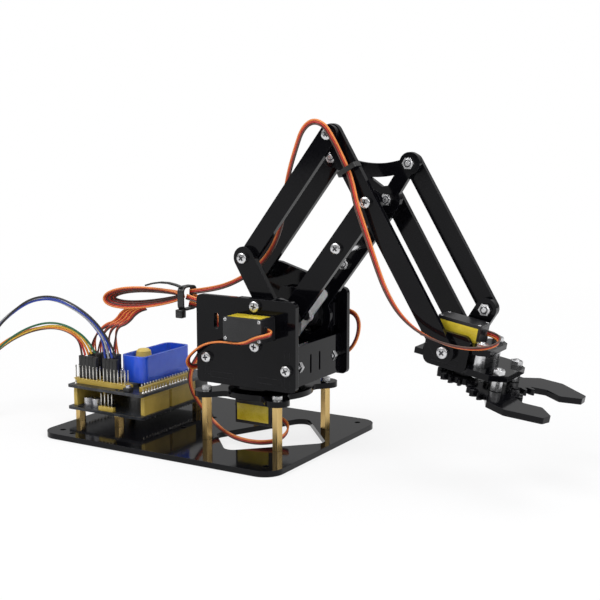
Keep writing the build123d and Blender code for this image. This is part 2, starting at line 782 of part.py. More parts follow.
with BuildPart() as triangle_bolts:
    across_bolt(level_rear_pivot, upper_far_y, triangle_y - plate)
    across_bolt(level_front_pivot, upper_far_y, triangle_y - plate)
triangle_bolts.part.label = "triangle_bolts"
export_step(triangle_bolts.part, "parts/triangle_bolts.step")

with BuildPart() as front_level_link:
    link_plate(upper_far_y, level_front_pivot, gripper_pivot, bar_width, (run_r, run_r))
front_level_link.part.label = "front_level_link"
export_step(front_level_link.part, "parts/front_level_link.step")

# Forearm: near plate runs from the drive link through the elbow to the wrist
with BuildPart() as forearm_near:
    with BuildSketch(side(forearm_near_y)):
        bar(rear_pivot, wrist, forearm_width)
        with Locations(elbow, wrist):
            Circle(run_r, mode=Mode.SUBTRACT)
        with Locations(rear_pivot):
            Circle(bolt_r, mode=Mode.SUBTRACT)
    extrude(amount=plate)
forearm_near.part.label = "forearm_near"
export_step(forearm_near.part, "parts/forearm_near.step")

with BuildPart() as forearm_far:
    link_plate(forearm_far_y, elbow, wrist, forearm_width, (run_r, run_r))
forearm_far.part.label = "forearm_far"
export_step(forearm_far.part, "parts/forearm_far.step")

with BuildPart() as forearm_bolt:
    across_bolt(rear_pivot, link_y - plate, forearm_near_y)
forearm_bolt.part.label = "forearm_bolt"
export_step(forearm_bolt.part, "parts/forearm_bolt.step")

# Gripper: brackets on the wrist carry two plates, an inverted servo and the geared jaws
bracket_near = upper_near_y - gripper_y          # inner face, from the gripper's middle
bracket_far = triangle_y - plate - gripper_y
rail = 2.0                                       # plate left beside the servo
jaw_offset = gear_module * gear_teeth / 2
jaw_pivot_x = grip_shaft_x + sqrt((2 * jaw_offset) ** 2 - jaw_offset ** 2)
ear_top = lower_plate_top
servo_gx = grip_shaft_x + case_middle
jaw_top = ear_top - servo_top - servo_boss - 0.3
post_x = 17.0
post_y = 10.0
plate_levels = [(top_plate_top - plate, top_plate_top), (lower_plate_top - plate, lower_plate_top)]
p_local = (level_front[0] * gripper_x[0] + level_front[1] * gripper_x[2],
           level_front[0] * gripper_z[0] + level_front[1] * gripper_z[2])
posts = [(post_x, -post_y), (post_x, post_y)]
jaw_pivots = [(jaw_pivot_x, -jaw_offset), (jaw_pivot_x, jaw_offset)]


def gripper_plate(top, rear, front, flare_x, half_front, corner, holes):
    """Plate between the brackets, widening forward of them, open round the servo case."""
    inner = (bracket_near, bracket_far)
    outline = [(rear, inner[0]), (flare_x - 3, inner[0]), (flare_x, -half_front),
               (front - corner, -half_front), (front, -half_front + corner),
               (front, half_front - corner), (front - corner, half_front), (flare_x, half_front),
               (flare_x - 3, inner[1]), (rear, inner[1])]
    with BuildSketch(gripper_plane(top - plate)) as shape:
        with BuildLine() as edge:
            Polyline(*outline, close=True)
        make_face(edge.edges())
        with Locations((0, (inner[0] + inner[1]) / 2)):
            Rectangle(14, inner[1] - inner[0] + 2 * plate)
        with Locations((servo_gx, 0)):
            Rectangle(servo_long + fit, servo_wide + fit, mode=Mode.SUBTRACT)
        with Locations(*holes):
            Circle(bolt_r, mode=Mode.SUBTRACT)
    extrude(shape.sketch, amount=plate)


with BuildPart() as gripper_top_plate:
    gripper_plate(top_plate_top, -16.0, 22.0, 14.5, 15.0, 4.0, posts)
gripper_top_plate.part.label = "gripper_top_plate"
export_step(gripper_top_plate.part, "parts/gripper_top_plate.step")

with BuildPart() as gripper_lower_plate:
    gripper_plate(lower_plate_top, -17.5, 33.0, 14.5, 18.5, 7.0, posts + jaw_pivots)
gripper_lower_plate.part.label = "gripper_lower_plate"
export_step(gripper_lower_plate.part, "parts/gripper_lower_plate.step")


def bracket_cuts():
    for low, high in plate_levels:
        with Locations((0, (low + high) / 2)):
            Rectangle(14, high - low, mode=Mode.SUBTRACT)
    with Locations((0, 0)):
        Circle(bolt_r, mode=Mode.SUBTRACT)


with BuildPart() as gripper_brackets:
    with BuildSketch(gripper_side(upper_near_y)):
        with Locations((0, 0.5)):
            RectangleRounded(23, 18, 4)
        bracket_cuts()
    extrude(amount=plate)
    with BuildSketch(gripper_side(triangle_y)):
        with Locations((0, 0.5)):
            RectangleRounded(23, 18, 4)
        bar((2, 4), p_local, 11)
        bracket_cuts()
        with Locations(p_local):
            Circle(bolt_r, mode=Mode.SUBTRACT)
    extrude(amount=plate)
gripper_brackets.part.label = "gripper_brackets"
export_step(gripper_brackets.part, "parts/gripper_brackets.step")

with BuildPart() as gripper_servo:
    shaft = gripper_plane(ear_top + servo_ear).location * Location((grip_shaft_x, 0, 0))
    micro_servo(Plane(origin=shaft.position, x_dir=tuple(-n for n in gripper_x),
                      z_dir=tuple(-n for n in gripper_z)))
gripper_servo.part.label = "gripper_servo"
export_step(gripper_servo.part, "parts/gripper_servo.step")

with BuildPart() as gripper_bolts:
    across_bolt(wrist, forearm_near_y - plate, upper_near_y, nut_h)
    across_bolt(wrist, triangle_y - plate, forearm_far_y, nut_h, spacers=[(triangle_y, upper_far_y + washer)])
    across_bolt(gripper_pivot, upper_far_y, triangle_y - plate)
    for place in posts:
        disc(gripper_plane(lower_plate_top), place, spacer_r - 0.2, top_plate_top - plate - lower_plate_top)
        disc(gripper_plane(lower_plate_top - plate), place, bolt_r, top_plate_top - lower_plate_top + plate)
        disc(gripper_plane(lower_plate_top - plate, -1), (place[0], -place[1]), head_r, head_h)
        nut(gripper_plane(top_plate_top), place)
    for place in jaw_pivots:
        disc(gripper_plane(jaw_top + 0.2), place, spacer_r, lower_plate_top - plate - jaw_top - 0.2)
        disc(gripper_plane(jaw_top - plate - 0.2), place, bolt_r, lower_plate_top - jaw_top + plate + 0.2)
        disc(gripper_plane(jaw_top - plate - 0.2, -1), (place[0], -place[1]), head_r, head_h)
        nut(gripper_plane(lower_plate_top), place)
gripper_bolts.part.label = "gripper_bolts"
export_step(gripper_bolts.part, "parts/gripper_bolts.step")

near_phase = 7.25
far_phase = meshed(near_phase, 90)
drive_phase = meshed(near_phase, 150)
jaw_outline = [(2, 5), (17, -1.5), (25, 2.5), (34, -4), (34, -10.5), (19, -19.5), (8, -18), (0, -8)]


def gear_plate(place, phase, kept=None):
    """Toothed blank of a gear at a place in the gripper's plan."""
    origin = gripper_plane(jaw_top - plate).location * Location((place[0], place[1], 0))
    with BuildSketch(Plane(origin=origin.position, x_dir=gripper_x, z_dir=gripper_z)) as shape:
        gear_outline(gear_teeth, phase, kept)
    extrude(shape.sketch, amount=plate)


def jaw_finger(place, hand, angle):
    """Claw that leaves a jaw's gear; hand is 1 for the near jaw and -1 for the far one."""
    origin = gripper_plane(jaw_top - plate).location * Location((place[0], place[1], 0))
    points = [(x * cos(radians(angle)) - y * hand * sin(radians(angle)),
               x * sin(radians(angle)) + y * hand * cos(radians(angle))) for x, y in jaw_outline]
    with BuildSketch(Plane(origin=origin.position, x_dir=gripper_x, z_dir=gripper_z)) as shape:
        with BuildLine() as edge:
            Polyline(*points, close=True)
        make_face(edge.edges())
        fillet(shape.vertices(), 1.5)
    extrude(shape.sketch, amount=plate)


with BuildPart() as drive_gear:
    gear_plate((grip_shaft_x, 0), drive_phase)
    drill(gripper_plane(jaw_top - plate), [(grip_shaft_x, 0)], spline_r + run_fit)
drive_gear.part.label = "drive_gear"
export_step(drive_gear.part, "parts/drive_gear.step")

with BuildPart() as jaw_near:
    gear_plate(jaw_pivots[0], near_phase)
    jaw_finger(jaw_pivots[0], 1, near_jaw_angle)
    drill(gripper_plane(jaw_top - plate), [jaw_pivots[0]], run_r)
jaw_near.part.label = "jaw_near"
export_step(jaw_near.part, "parts/jaw_near.step")

with BuildPart() as jaw_far:
    gear_plate(jaw_pivots[1], far_phase % 22.5 - 112.5, (-95, -10))
    jaw_finger(jaw_pivots[1], -1, 0)
    drill(gripper_plane(jaw_top - plate), [jaw_pivots[1]], run_r)
jaw_far.part.label = "jaw_far"
export_step(jaw_far.part, "parts/jaw_far.step")

# Cable tie round the forearm's rear arm and the gripper lead
tie_point = polar(elbow, 18.5, lever_angle)
with BuildPart() as forearm_tie:
    along = Plane(origin=(turn_axis[0] + tie_point[0], turn_axis[1], tie_point[1]), x_dir=(0, 1, 0),
                  z_dir=(cos(radians(lever_angle)), 0, sin(radians(lever_angle))))
    tie_low = forearm_near_y - plate - lead_width - 0.5
    with BuildSketch(along.offset(-1.25)):
        with Locations(((tie_low + forearm_near_y) / 2, 0)):
            RectangleRounded(forearm_near_y - tie_low + 1.2, forearm_width + 1.2, 1.6)
            Rectangle(forearm_near_y - tie_low, forearm_width, mode=Mode.SUBTRACT)
    extrude(amount=2.5)
forearm_tie.part.label = "forearm_tie"
export_step(forearm_tie.part, "parts/forearm_tie.step")


# Leads, each a plain tube of its own
def lead(points, radius):
    """Tube along straight runs joined by tangent arcs, and its bend radii printed."""
    placed = [Vector(x + turn_axis[0], y + turn_axis[1], z) for x, y, z in points]
    bends = []
    for before, at, after in zip(placed, placed[1:], placed[2:]):
        run = min((at - before).length, (after - at).length)
        bends.append(0.45 * run / tan(radians((at - before).get_angle(after - at) / 2)))
    with BuildLine() as route:
        FilletPolyline(*placed, radius=bends)
    with BuildSketch(Plane(origin=route.line @ 0, z_dir=route.line % 0)) as section:
        Circle(radius)
    sweep(section.sketch, path=route.line)
    print([round(bend, 1) for bend in bends], round(sum(edge.length for edge in route.edges()) * pi * radius ** 2, 1))


lead_r = lead_width / 2
tie_y = forearm_near_y - plate - lead_r - 0.2

with BuildPart() as gripper_lead_front:
    lead([(123.9, 3.3, 69.7), (129.5, 2.6, 68.9), (133.0, -3.5, 66.8), (129.5, -11.5, 65.2),
          (121.5, -16.5, 65.0), (111.0, -18.0, 66.4), (98.0, -18.0, 70.4), (87.0, -17.4, 78.0),
          (79.0, -16.9, 89.0), (73.0, -16.2, 102.0), (67.2, -15.9, 117.0), (61.7, -15.9, 131.0),
          (57.4, tie_y, 143.5), (54.3, tie_y, 149.4)], lead_r)
gripper_lead_front.part.label = "gripper_lead_front"
export_step(gripper_lead_front.part, "parts/gripper_lead_front.step")

with BuildPart() as gripper_lead_rear:
    lead([(54.3, tie_y, 149.4), (51.2, tie_y, 155.3), (49.4, -17.6, 162.6), (45.8, -19.6, 169.3),
          (38.5, -18.6, 171.0), (31.0, -15.5, 166.5), (25.5, -12.0, 157.5), (19.8, -8.8, 146.5),
          (16.4, -7.6, 134.5), (14.8, -7.0, 122.0), (10.2, -5.6, 110.0), (1.8, -3.8, 98.6),
          (-9.2, -3.4, 90.0), (-20.0, -4.6, 84.0), (-31.5, -6.6, 80.4), (-44.9, -7.8, 78.2)], lead_r)
gripper_lead_rear.part.label = "gripper_lead_rear"
export_step(gripper_lead_rear.part, "parts/gripper_lead_rear.step")

with BuildPart() as near_servo_lead:
    lead([(24.5, -37.5, 67.5), (30.5, -37.4, 67.0), (33.0, -36.0, 61.0), (28.0, -33.6, 56.6),
          (17.0, -31.8, 57.0), (3.0, -31.0, 58.6), (-11.0, -31.2, 57.0), (-22.5, -31.8, 52.8),
          (-30.2, -31.4, 46.5), (-31.5, -26.5, 40.8), (-27.6, -20.0, 41.8), (-24.0, -14.6, 48.5),
          (-23.2, -11.6, 58.5), (-25.0, -11.2, 68.0), (-32.0, -11.2, 74.0), (-44.7, -11.0, 76.0)], lead_r)
near_servo_lead.part.label = "near_servo_lead"
export_step(near_servo_lead.part, "parts/near_servo_lead.step")

with BuildPart() as far_servo_lead:
    lead([(24.5, 37.5, 67.5), (31.0, 37.4, 68.2), (36.4, 37.0, 63.4), (36.0, 36.6, 54.0),
          (31.0, 35.6, 45.0), (20.0, 33.8, 40.4), (4.0, 32.6, 42.0), (-12.0, 33.2, 46.8),
          (-25.0, 32.4, 51.2), (-31.6, 22.0, 56.0), (-31.4, 11.0, 62.5), (-31.0, 2.0, 70.0),
          (-35.6, -3.0, 74.6), (-45.2, -4.4, 75.0)], lead_r)
far_servo_lead.part.label = "far_servo_lead"
export_step(far_servo_lead.part, "parts/far_servo_lead.step")

with BuildPart() as base_servo_lead:
    lead([(7.6, 0.0, 12.5), (13.6, -1.4, 11.6), (18.4, -8.0, 8.4), (17.4, -17.0, 5.3),
          (9.6, -23.6, 4.7), (-3.0, -23.0, 4.7), (-16.0, -16.5, 4.9), (-28.0, -10.6, 8.0),
          (-36.6, -10.4, 15.6), (-41.8, -12.8, 25.6), (-41.2, -13.8, 36.0), (-35.8, -11.0, 46.0),
          (-31.6, -6.4, 56.0), (-31.2, -4.0, 65.0), (-36.0, -5.6, 70.6), (-45.6, -7.6, 71.6)], lead_r)
base_servo_lead.part.label = "base_servo_lead"
export_step(base_servo_lead.part, "parts/base_servo_lead.step")

hank_size = (60.0, 16.0, 9.0)
hank_at = (-75.6, -7.8, 73.0)
hank_rise = 6.0
with BuildPart() as lead_hank:
    with BuildSketch(side(hank_at[1] + hank_size[2] / 2)):
        with Locations((hank_at[0], hank_at[2])):
            SlotOverall(hank_size[0], hank_size[1], rotation=hank_rise)
    extrude(amount=hank_size[2])
    fillet(lead_hank.edges().group_by(Axis.Y)[0] + lead_hank.edges().group_by(Axis.Y)[-1], 3.0)
lead_hank.part.label = "lead_hank"
export_step(lead_hank.part, "parts/lead_hank.step")

with BuildPart() as lead_tails:
    for x, start in zip(housing_xs, (-99.0, -92.5, -86.0, -79.5)):
        start_z = hank_at[2] - hank_size[1] / 2 + (start - hank_at[0]) * tan(radians(hank_rise)) - 1.0
        lead([(start, -8.6, start_z), (start - 4.0, -9.6, start_z - 6.5),
              (x - 0.6, -12.8, 48.5), (x, servo_pins_y, housing_top + 0.4)], 1.1)
lead_tails.part.label = "lead_tails"
export_step(lead_tails.part, "parts/lead_tails.step")

# Jumper wires that leave to the left and end in their plugs on the table
wires_r = 2.0
plug_length = 14.0
table_plugs = [(-179.0, -62.4, 10.1), (-162.8, -66.4, 12.6)]

with BuildPart() as jumper_upper:
    lead([(jumper_plugs_at[1][0], pin_strip_y, housing_top + 0.4), (-89.4, -25.0, 48.0), (-97.0, -25.6, 57.8),
          (-110.0, -25.8, 65.6), (-126.0, -25.4, 70.4), (-143.0, -24.9, 69.0), (-158.0, -24.6, 62.0),
          (-172.0, -26.0, 50.6), (-182.5, -29.0, 38.0), (-187.5, -34.5, 24.0), (-186.8, -42.5, 10.8),
          (-183.0, -52.0, 3.2), (table_plugs[0][0], table_plugs[0][1] + 0.9, wires_r + 0.05)], wires_r)
jumper_upper.part.label = "jumper_upper"
export_step(jumper_upper.part, "parts/jumper_upper.step")

with BuildPart() as jumper_lower:
    lead([(jumper_plugs_at[0][0], pin_strip_y, housing_top + 0.7), (-105.8, -25.2, 46.4), (-113.6, -26.4, 52.8),
          (-127.5, -27.2, 55.0), (-144.0, -28.4, 51.4), (-158.0, -30.8, 45.0), (-168.5, -35.2, 36.0),
          (-173.8, -42.0, 24.5), (-172.4, -50.5, 11.5), (-167.0, -58.4, 3.4),
          (table_plugs[1][0], table_plugs[1][1] + 1.1, wires_r + 0.05)], wires_r)
jumper_lower.part.label = "jumper_lower"
export_step(jumper_lower.part, "parts/jumper_lower.step")

with BuildPart() as jumper_plugs:
    for x, y, wide in table_plugs:
        with BuildSketch(level(0)):
            with Locations((x, y - plug_length / 2)):
                Rectangle(wide, plug_length)
        extrude(amount=2.6)
jumper_plugs.part.label = "jumper_plugs"
export_step(jumper_plugs.part, "parts/jumper_plugs.step")
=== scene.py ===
"""Looks of a desktop four-servo robot arm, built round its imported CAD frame."""

import json
import math

import bmesh
import bpy
import numpy as np
from mathutils import Matrix, Quaternion, Vector

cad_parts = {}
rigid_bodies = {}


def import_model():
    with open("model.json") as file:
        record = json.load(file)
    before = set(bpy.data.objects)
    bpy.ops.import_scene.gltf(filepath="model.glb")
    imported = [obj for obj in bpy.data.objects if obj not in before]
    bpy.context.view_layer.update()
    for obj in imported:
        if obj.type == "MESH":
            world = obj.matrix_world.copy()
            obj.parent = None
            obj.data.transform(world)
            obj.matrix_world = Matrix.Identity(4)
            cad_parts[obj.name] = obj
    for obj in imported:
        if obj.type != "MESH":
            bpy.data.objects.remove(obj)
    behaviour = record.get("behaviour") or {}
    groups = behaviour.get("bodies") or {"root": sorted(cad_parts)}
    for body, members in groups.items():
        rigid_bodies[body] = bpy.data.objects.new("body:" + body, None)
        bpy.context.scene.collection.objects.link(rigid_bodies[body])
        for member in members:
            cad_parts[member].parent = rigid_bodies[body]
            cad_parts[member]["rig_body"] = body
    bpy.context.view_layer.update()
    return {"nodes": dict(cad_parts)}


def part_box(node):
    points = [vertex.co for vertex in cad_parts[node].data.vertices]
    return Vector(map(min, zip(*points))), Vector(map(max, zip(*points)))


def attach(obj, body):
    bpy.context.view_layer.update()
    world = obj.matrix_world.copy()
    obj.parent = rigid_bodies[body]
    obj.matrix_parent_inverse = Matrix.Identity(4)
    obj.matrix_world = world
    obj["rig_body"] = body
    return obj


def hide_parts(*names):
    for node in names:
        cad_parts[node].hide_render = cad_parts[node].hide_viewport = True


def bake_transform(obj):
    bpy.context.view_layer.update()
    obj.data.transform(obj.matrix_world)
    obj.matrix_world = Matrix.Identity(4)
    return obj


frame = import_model()
cad = frame["nodes"]
scene = bpy.context.scene

mm = 0.001
pin_pitch = 2.54                            # of headers, housings and their wires
turret_axis = Vector((34.5, 3.0, 0.0))      # routes are written from this axis, in millimetres
wrist = Vector((141.878, 6.3, 61.103))
tilt = math.radians(10)                     # the gripper's nose-down angle
gripper_frame = Matrix((
    (math.cos(tilt), 0.0, math.sin(tilt), wrist.x),
    (0.0, 1.0, 0.0, wrist.y),
    (-math.sin(tilt), 0.0, math.cos(tilt), wrist.z),
    (0.0, 0.0, 0.0, 1.0),
))


# Camera, at the photograph's place
camera_data = bpy.data.cameras.new("camera")
camera_data.sensor_width = 36.0
camera_data.lens = 68.92
camera_data.clip_start = 0.02
camera = bpy.data.objects.new("camera", camera_data)
camera.location = (0.3589, -0.5083, 0.1721)
camera.rotation_euler = (math.pi / 2 - 0.157, 0.0, 0.536)
scene.collection.objects.link(camera)
scene.camera = camera


# Finishes
def finish(name, dark, light, rough, edge_wear_and_glint=None, patch=60.0, grain=1500.0, relief=0.05,
           soften=0.25, stretch=(1.0, 1.0, 1.0), sockets=None):
    """Node finish: the colour drifts between two tones, roughness and relief follow a grain,
    and edges are soft and take an edge colour: partly real wear, partly a painted edge highlight."""
    made = bpy.data.materials.new(name)
    made.use_nodes = True
    tree = made.node_tree
    shader = tree.nodes["Principled BSDF"]
    link = tree.links.new

    def node(kind, values=None):
        new = tree.nodes.new(kind)
        for key, value in (values or {}).items():
            new.inputs[key].default_value = value
        return new

    for socket, value in (sockets or {}).items():
        shader.inputs[socket].default_value = value
    place = node("ShaderNodeTexCoord")
    spread = node("ShaderNodeMapping", {"Scale": stretch})
    link(place.outputs["Object"], spread.inputs["Vector"])
    cloud = node("ShaderNodeTexNoise", {"Scale": patch, "Detail": 3.0})
    grains = node("ShaderNodeTexNoise", {"Scale": grain, "Detail": 5.0})
    for texture in (cloud, grains):
        link(spread.outputs["Vector"], texture.inputs["Vector"])
    tones = node("ShaderNodeValToRGB")
    low, high = tones.color_ramp.elements
    low.position, low.color = 0.36, (*dark, 1.0)
    high.position, high.color = 0.66, (*light, 1.0)
    link(cloud.outputs[0], tones.inputs[0])
    gloss = node("ShaderNodeMapRange", {"From Min": 0.3, "From Max": 0.7,
                                        "To Min": rough * 0.7, "To Max": rough * 1.4})
    link(grains.outputs[0], gloss.inputs["Value"])
    link(gloss.outputs[0], shader.inputs["Roughness"])
    soft = node("ShaderNodeBevel", {"Radius": soften * mm})
    soft.samples = 4
    bump = node("ShaderNodeBump", {"Strength": relief, "Distance": 0.1 * mm})
    link(grains.outputs[0], bump.inputs["Height"])
    link(soft.outputs[0], bump.inputs["Normal"])
    link(bump.outputs[0], shader.inputs["Normal"])
    colour = tones.outputs[0]
    # Edge colour on the rims found by the bevel: partly real edge wear, partly a painted edge highlight.
    if edge_wear_and_glint:
        flat = node("ShaderNodeNewGeometry")
        lean = node("ShaderNodeVectorMath")
        lean.operation = "DOT_PRODUCT"
        link(soft.outputs[0], lean.inputs[0])
        link(flat.outputs["Normal"], lean.inputs[1])
        rim_wear_and_glint = node("ShaderNodeMapRange", {"From Min": 0.99, "From Max": 0.75})
        link(lean.outputs["Value"], rim_wear_and_glint.inputs["Value"])
        mix = node("ShaderNodeMix")
        mix.data_type = "RGBA"
        mix.inputs[7].default_value = (*edge_wear_and_glint, 1.0)
        link(rim_wear_and_glint.outputs[0], mix.inputs[0])
        link(colour, mix.inputs[6])
        colour = mix.outputs[2]
    link(colour, shader.inputs["Base Color"])
    return made


def add_traces(made, tone, scale):
    """Copper tracks and pads showing through a board's lacquer."""
    tree = made.node_tree
    shader = tree.nodes["Principled BSDF"]
    under = shader.inputs["Base Color"].links[0].from_socket
    place = tree.nodes.new("ShaderNodeTexCoord")
    cells = tree.nodes.new("ShaderNodeTexVoronoi")
    cells.distance = "CHEBYCHEV"
    cells.feature = "F2"
    cells.inputs["Scale"].default_value = scale
    lines = tree.nodes.new("ShaderNodeValToRGB")
    lines.color_ramp.elements[0].position = 0.62
    lines.color_ramp.elements[1].position = 0.70
    mix = tree.nodes.new("ShaderNodeMix")
    mix.data_type = "RGBA"
    mix.inputs[7].default_value = (*tone, 1.0)
    link = tree.links.new
    link(place.outputs["Object"], cells.inputs["Vector"])
    link(cells.outputs["Distance"], lines.inputs[0])
    link(lines.outputs[0], mix.inputs[0])
    link(under, mix.inputs[6])
    link(mix.outputs[2], shader.inputs["Base Color"])
    return made


metal = {"Metallic": 1.0}
# Black acrylic; its lighter edge colour is a painted highlight on the cut edges.
acrylic = finish("acrylic_black", (0.002, 0.002, 0.003), (0.004, 0.004, 0.005), 0.08,
                 edge_wear_and_glint=(0.02, 0.02, 0.025), patch=25.0, grain=900.0, relief=0.02, soften=0.3,
                 stretch=(1.0, 0.25, 1.0), sockets={"IOR": 1.25})
servo_black = finish("servo_black", (0.006, 0.006, 0.007), (0.012, 0.012, 0.014), 0.34,
                     edge_wear_and_glint=(0.04, 0.04, 0.045), grain=4000.0, relief=0.12, soften=0.35)
steel = finish("screw_steel", (0.55, 0.55, 0.56), (0.74, 0.74, 0.75), 0.24,
               edge_wear_and_glint=(0.85, 0.85, 0.86), patch=400.0, grain=3000.0, relief=0.06, soften=0.2, sockets=metal)
# Dark steel for screw recesses, bolt gaps and connector mouths: painted shade of these hollows.
recess_shade_steel = finish("painted_recess_shade", (0.05, 0.05, 0.055), (0.12, 0.12, 0.13), 0.5, patch=500.0, sockets=metal)
brass = finish("brass", (0.50, 0.33, 0.12), (0.68, 0.48, 0.20), 0.28, edge_wear_and_glint=(0.80, 0.62, 0.32), patch=150.0,
               grain=1200.0, relief=0.10, soften=0.25, stretch=(1.0, 1.0, 0.08), sockets=metal)
lacquer = finish("board", (0.010, 0.012, 0.016), (0.018, 0.020, 0.027), 0.30, edge_wear_and_glint=(0.20, 0.17, 0.08),
                 grain=2500.0, relief=0.08, soften=0.15)
board = add_traces(lacquer, (0.035, 0.040, 0.050), 330.0)
port_steel = finish("port_steel", (0.50, 0.50, 0.52), (0.66, 0.66, 0.68), 0.30, edge_wear_and_glint=(0.8, 0.8, 0.8),
                    patch=120.0, stretch=(1.0, 0.2, 1.0), sockets=metal)
yellow = finish("header_yellow", (0.50, 0.35, 0.055), (0.62, 0.44, 0.085), 0.42, edge_wear_and_glint=(0.72, 0.56, 0.18),
                patch=120.0, grain=2500.0, relief=0.10)
plug_black = finish("plug_black", (0.010, 0.010, 0.010), (0.022, 0.022, 0.022), 0.45,
                    edge_wear_and_glint=(0.06, 0.06, 0.06), grain=5000.0, relief=0.15, soften=0.2)
horn_white = finish("horn_white", (0.60, 0.60, 0.61), (0.74, 0.74, 0.75), 0.36, edge_wear_and_glint=(0.70, 0.70, 0.70),
                    patch=200.0, grain=3000.0, relief=0.08,
                    sockets={"Subsurface Weight": 0.15, "Subsurface Scale": 0.001})
shell_blue = finish("shell_blue", (0.030, 0.115, 0.90), (0.050, 0.165, 1.00), 0.10, edge_wear_and_glint=(0.25, 0.45, 1.00),
                    patch=90.0, grain=500.0, relief=0.06, soften=0.5,
                    sockets={"Transmission Weight": 0.22, "IOR": 1.46, "Subsurface Weight": 0.2,
                             "Subsurface Scale": 0.003})
module_yellow = finish("module_yellow", (0.70, 0.50, 0.10), (0.82, 0.62, 0.16), 0.45, patch=150.0)
label_yellow = finish("label_yellow", (0.66, 0.50, 0.025), (0.78, 0.61, 0.045), 0.30,
                      edge_wear_and_glint=(0.45, 0.34, 0.03), patch=220.0, grain=2000.0, relief=0.04, soften=0.15)
chip = finish("chip_resin", (0.012, 0.012, 0.013), (0.024, 0.024, 0.026), 0.50, patch=300.0, grain=5000.0)
tin = finish("tinned_pin", (0.62, 0.60, 0.56), (0.80, 0.78, 0.74), 0.22, patch=500.0, sockets=metal)
tie_nylon = finish("tie_nylon", (0.008, 0.008, 0.008), (0.018, 0.018, 0.018), 0.32, patch=300.0, relief=0.2,
                   stretch=(1.0, 1.0, 1.5))


def insulation(name, tone):
    """Wire insulation of one colour, slightly mottled."""
    dark = tuple(c * 0.82 for c in tone)
    return finish("wire_" + name, dark, tone, 0.34, patch=180.0, grain=2500.0, relief=0.06, soften=0.1)


wires = {name: insulation(name, tone) for name, tone in {
    "orange": (0.88, 0.27, 0.06), "red": (0.55, 0.035, 0.022), "brown": (0.090, 0.036, 0.024),
    "black": (0.012, 0.012, 0.013), "grey": (0.40, 0.41, 0.42),
    "blue": (0.012, 0.05, 0.42), "green": (0.010, 0.12, 0.045), "yellow": (0.80, 0.47, 0.03),
    "amber": (0.78, 0.25, 0.02),
}.items()}
servo_wires = [wires["orange"], wires["red"], wires["brown"]]

cad_finishes = [
    (board, ["controller_board", "shield_board"]),
    (port_steel, ["board_ports"]),
    (yellow, ["board_headers", "shield_pins"]),
    (module_yellow, ["receiver_module"]),
    (shell_blue, ["receiver_shell"]),
    (brass, ["base_pillars"]),
    (steel, ["base_screws", "turret_bolts", "fixed_pivot_bolt", "arm_bolts", "lever_bolt",
             "triangle_bolts", "forearm_bolt", "gripper_bolts"]),
    (servo_black, ["base_servo", "servo_near", "servo_far", "gripper_servo"]),
    (horn_white, ["turret_horn", "shoulder_horn", "elbow_horn"]),
    (tie_nylon, ["forearm_tie"]),
]
finish_of = {name: one for one, names in cad_finishes for name in names}
for name, node_object in cad.items():
    node_object.data.materials.clear()
    node_object.data.materials.append(finish_of.get(name, acrylic))


# Mesh helpers: everything is written in millimetres and scaled once at the end
class Piece:
    """Collects shapes in one mesh; finishes are numbered in the order they are given at the end."""

    def __init__(self):
        self.bm = bmesh.new()
        self.closed = self.bm.faces.layers.int.new("closed")

    def close(self, index, smooth=True):
        """Gives the faces made since the last call one finish."""
        for face in self.bm.faces:
            if not face[self.closed]:
                face.material_index = index
                face.smooth = smooth
                face[self.closed] = 1

    def block(self, low, high, index=0, soft=0.0, place=None):
        """Box between two corners, its edges rounded by soft."""
        low, high = Vector(low), Vector(high)
        size = high - low
        matrix = Matrix.Translation((low + high) / 2) @ Matrix.Diagonal((*size, 1.0))
        made = bmesh.ops.create_cube(self.bm, size=1.0, matrix=(place or Matrix()) @ matrix)["verts"]
        if soft:
            edges = list({edge for vert in made for edge in vert.link_edges})
            bmesh.ops.bevel(self.bm, geom=edges, offset=soft, segments=2, profile=0.5, affect="EDGES")
        self.close(index)

    def rod(self, start, end, radius, index=0, sides=16, tip=None, place=None):
        """Round bar or cone between two points."""
        start, end = Vector(start), Vector(end)
        turn = (end - start).to_track_quat("Z", "Y").to_matrix().to_4x4()
        matrix = (place or Matrix()) @ Matrix.Translation((start + end) / 2) @ turn
        bmesh.ops.create_cone(self.bm, cap_ends=True, segments=sides, radius1=radius,
                              radius2=radius if tip is None else tip, depth=(end - start).length,
                              matrix=matrix)
        self.close(index)

    def grid(self, rows, index=0, ends=True):
        """Skin over rows of points, each row a closed ring."""
        rings = [[self.bm.verts.new(point) for point in row] for row in rows]
        count = len(rings[0])
        for ring, after in zip(rings, rings[1:]):
            for k in range(count):
                self.bm.faces.new((ring[k], ring[(k + 1) % count], after[(k + 1) % count], after[k]))
        if ends:
            self.bm.faces.new(reversed(rings[0]))
            self.bm.faces.new(rings[-1])
        self.close(index)

    def made(self, name, slot, finishes, body=None, sharp=40.0):
        """Turns the shapes into an object in metres, riding on a body."""
        mesh = bpy.data.meshes.new(name)
        bmesh.ops.scale(self.bm, vec=(mm, mm, mm), verts=self.bm.verts)
        bmesh.ops.recalc_face_normals(self.bm, faces=self.bm.faces)
        self.bm.to_mesh(mesh)
        self.bm.free()
        mesh.set_sharp_from_angle(angle=math.radians(sharp))
        for one in finishes:
            mesh.materials.append(one)
        piece = bpy.data.objects.new(name, mesh)
        scene.collection.objects.link(piece)
        if body:
            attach(piece, body)
        return piece


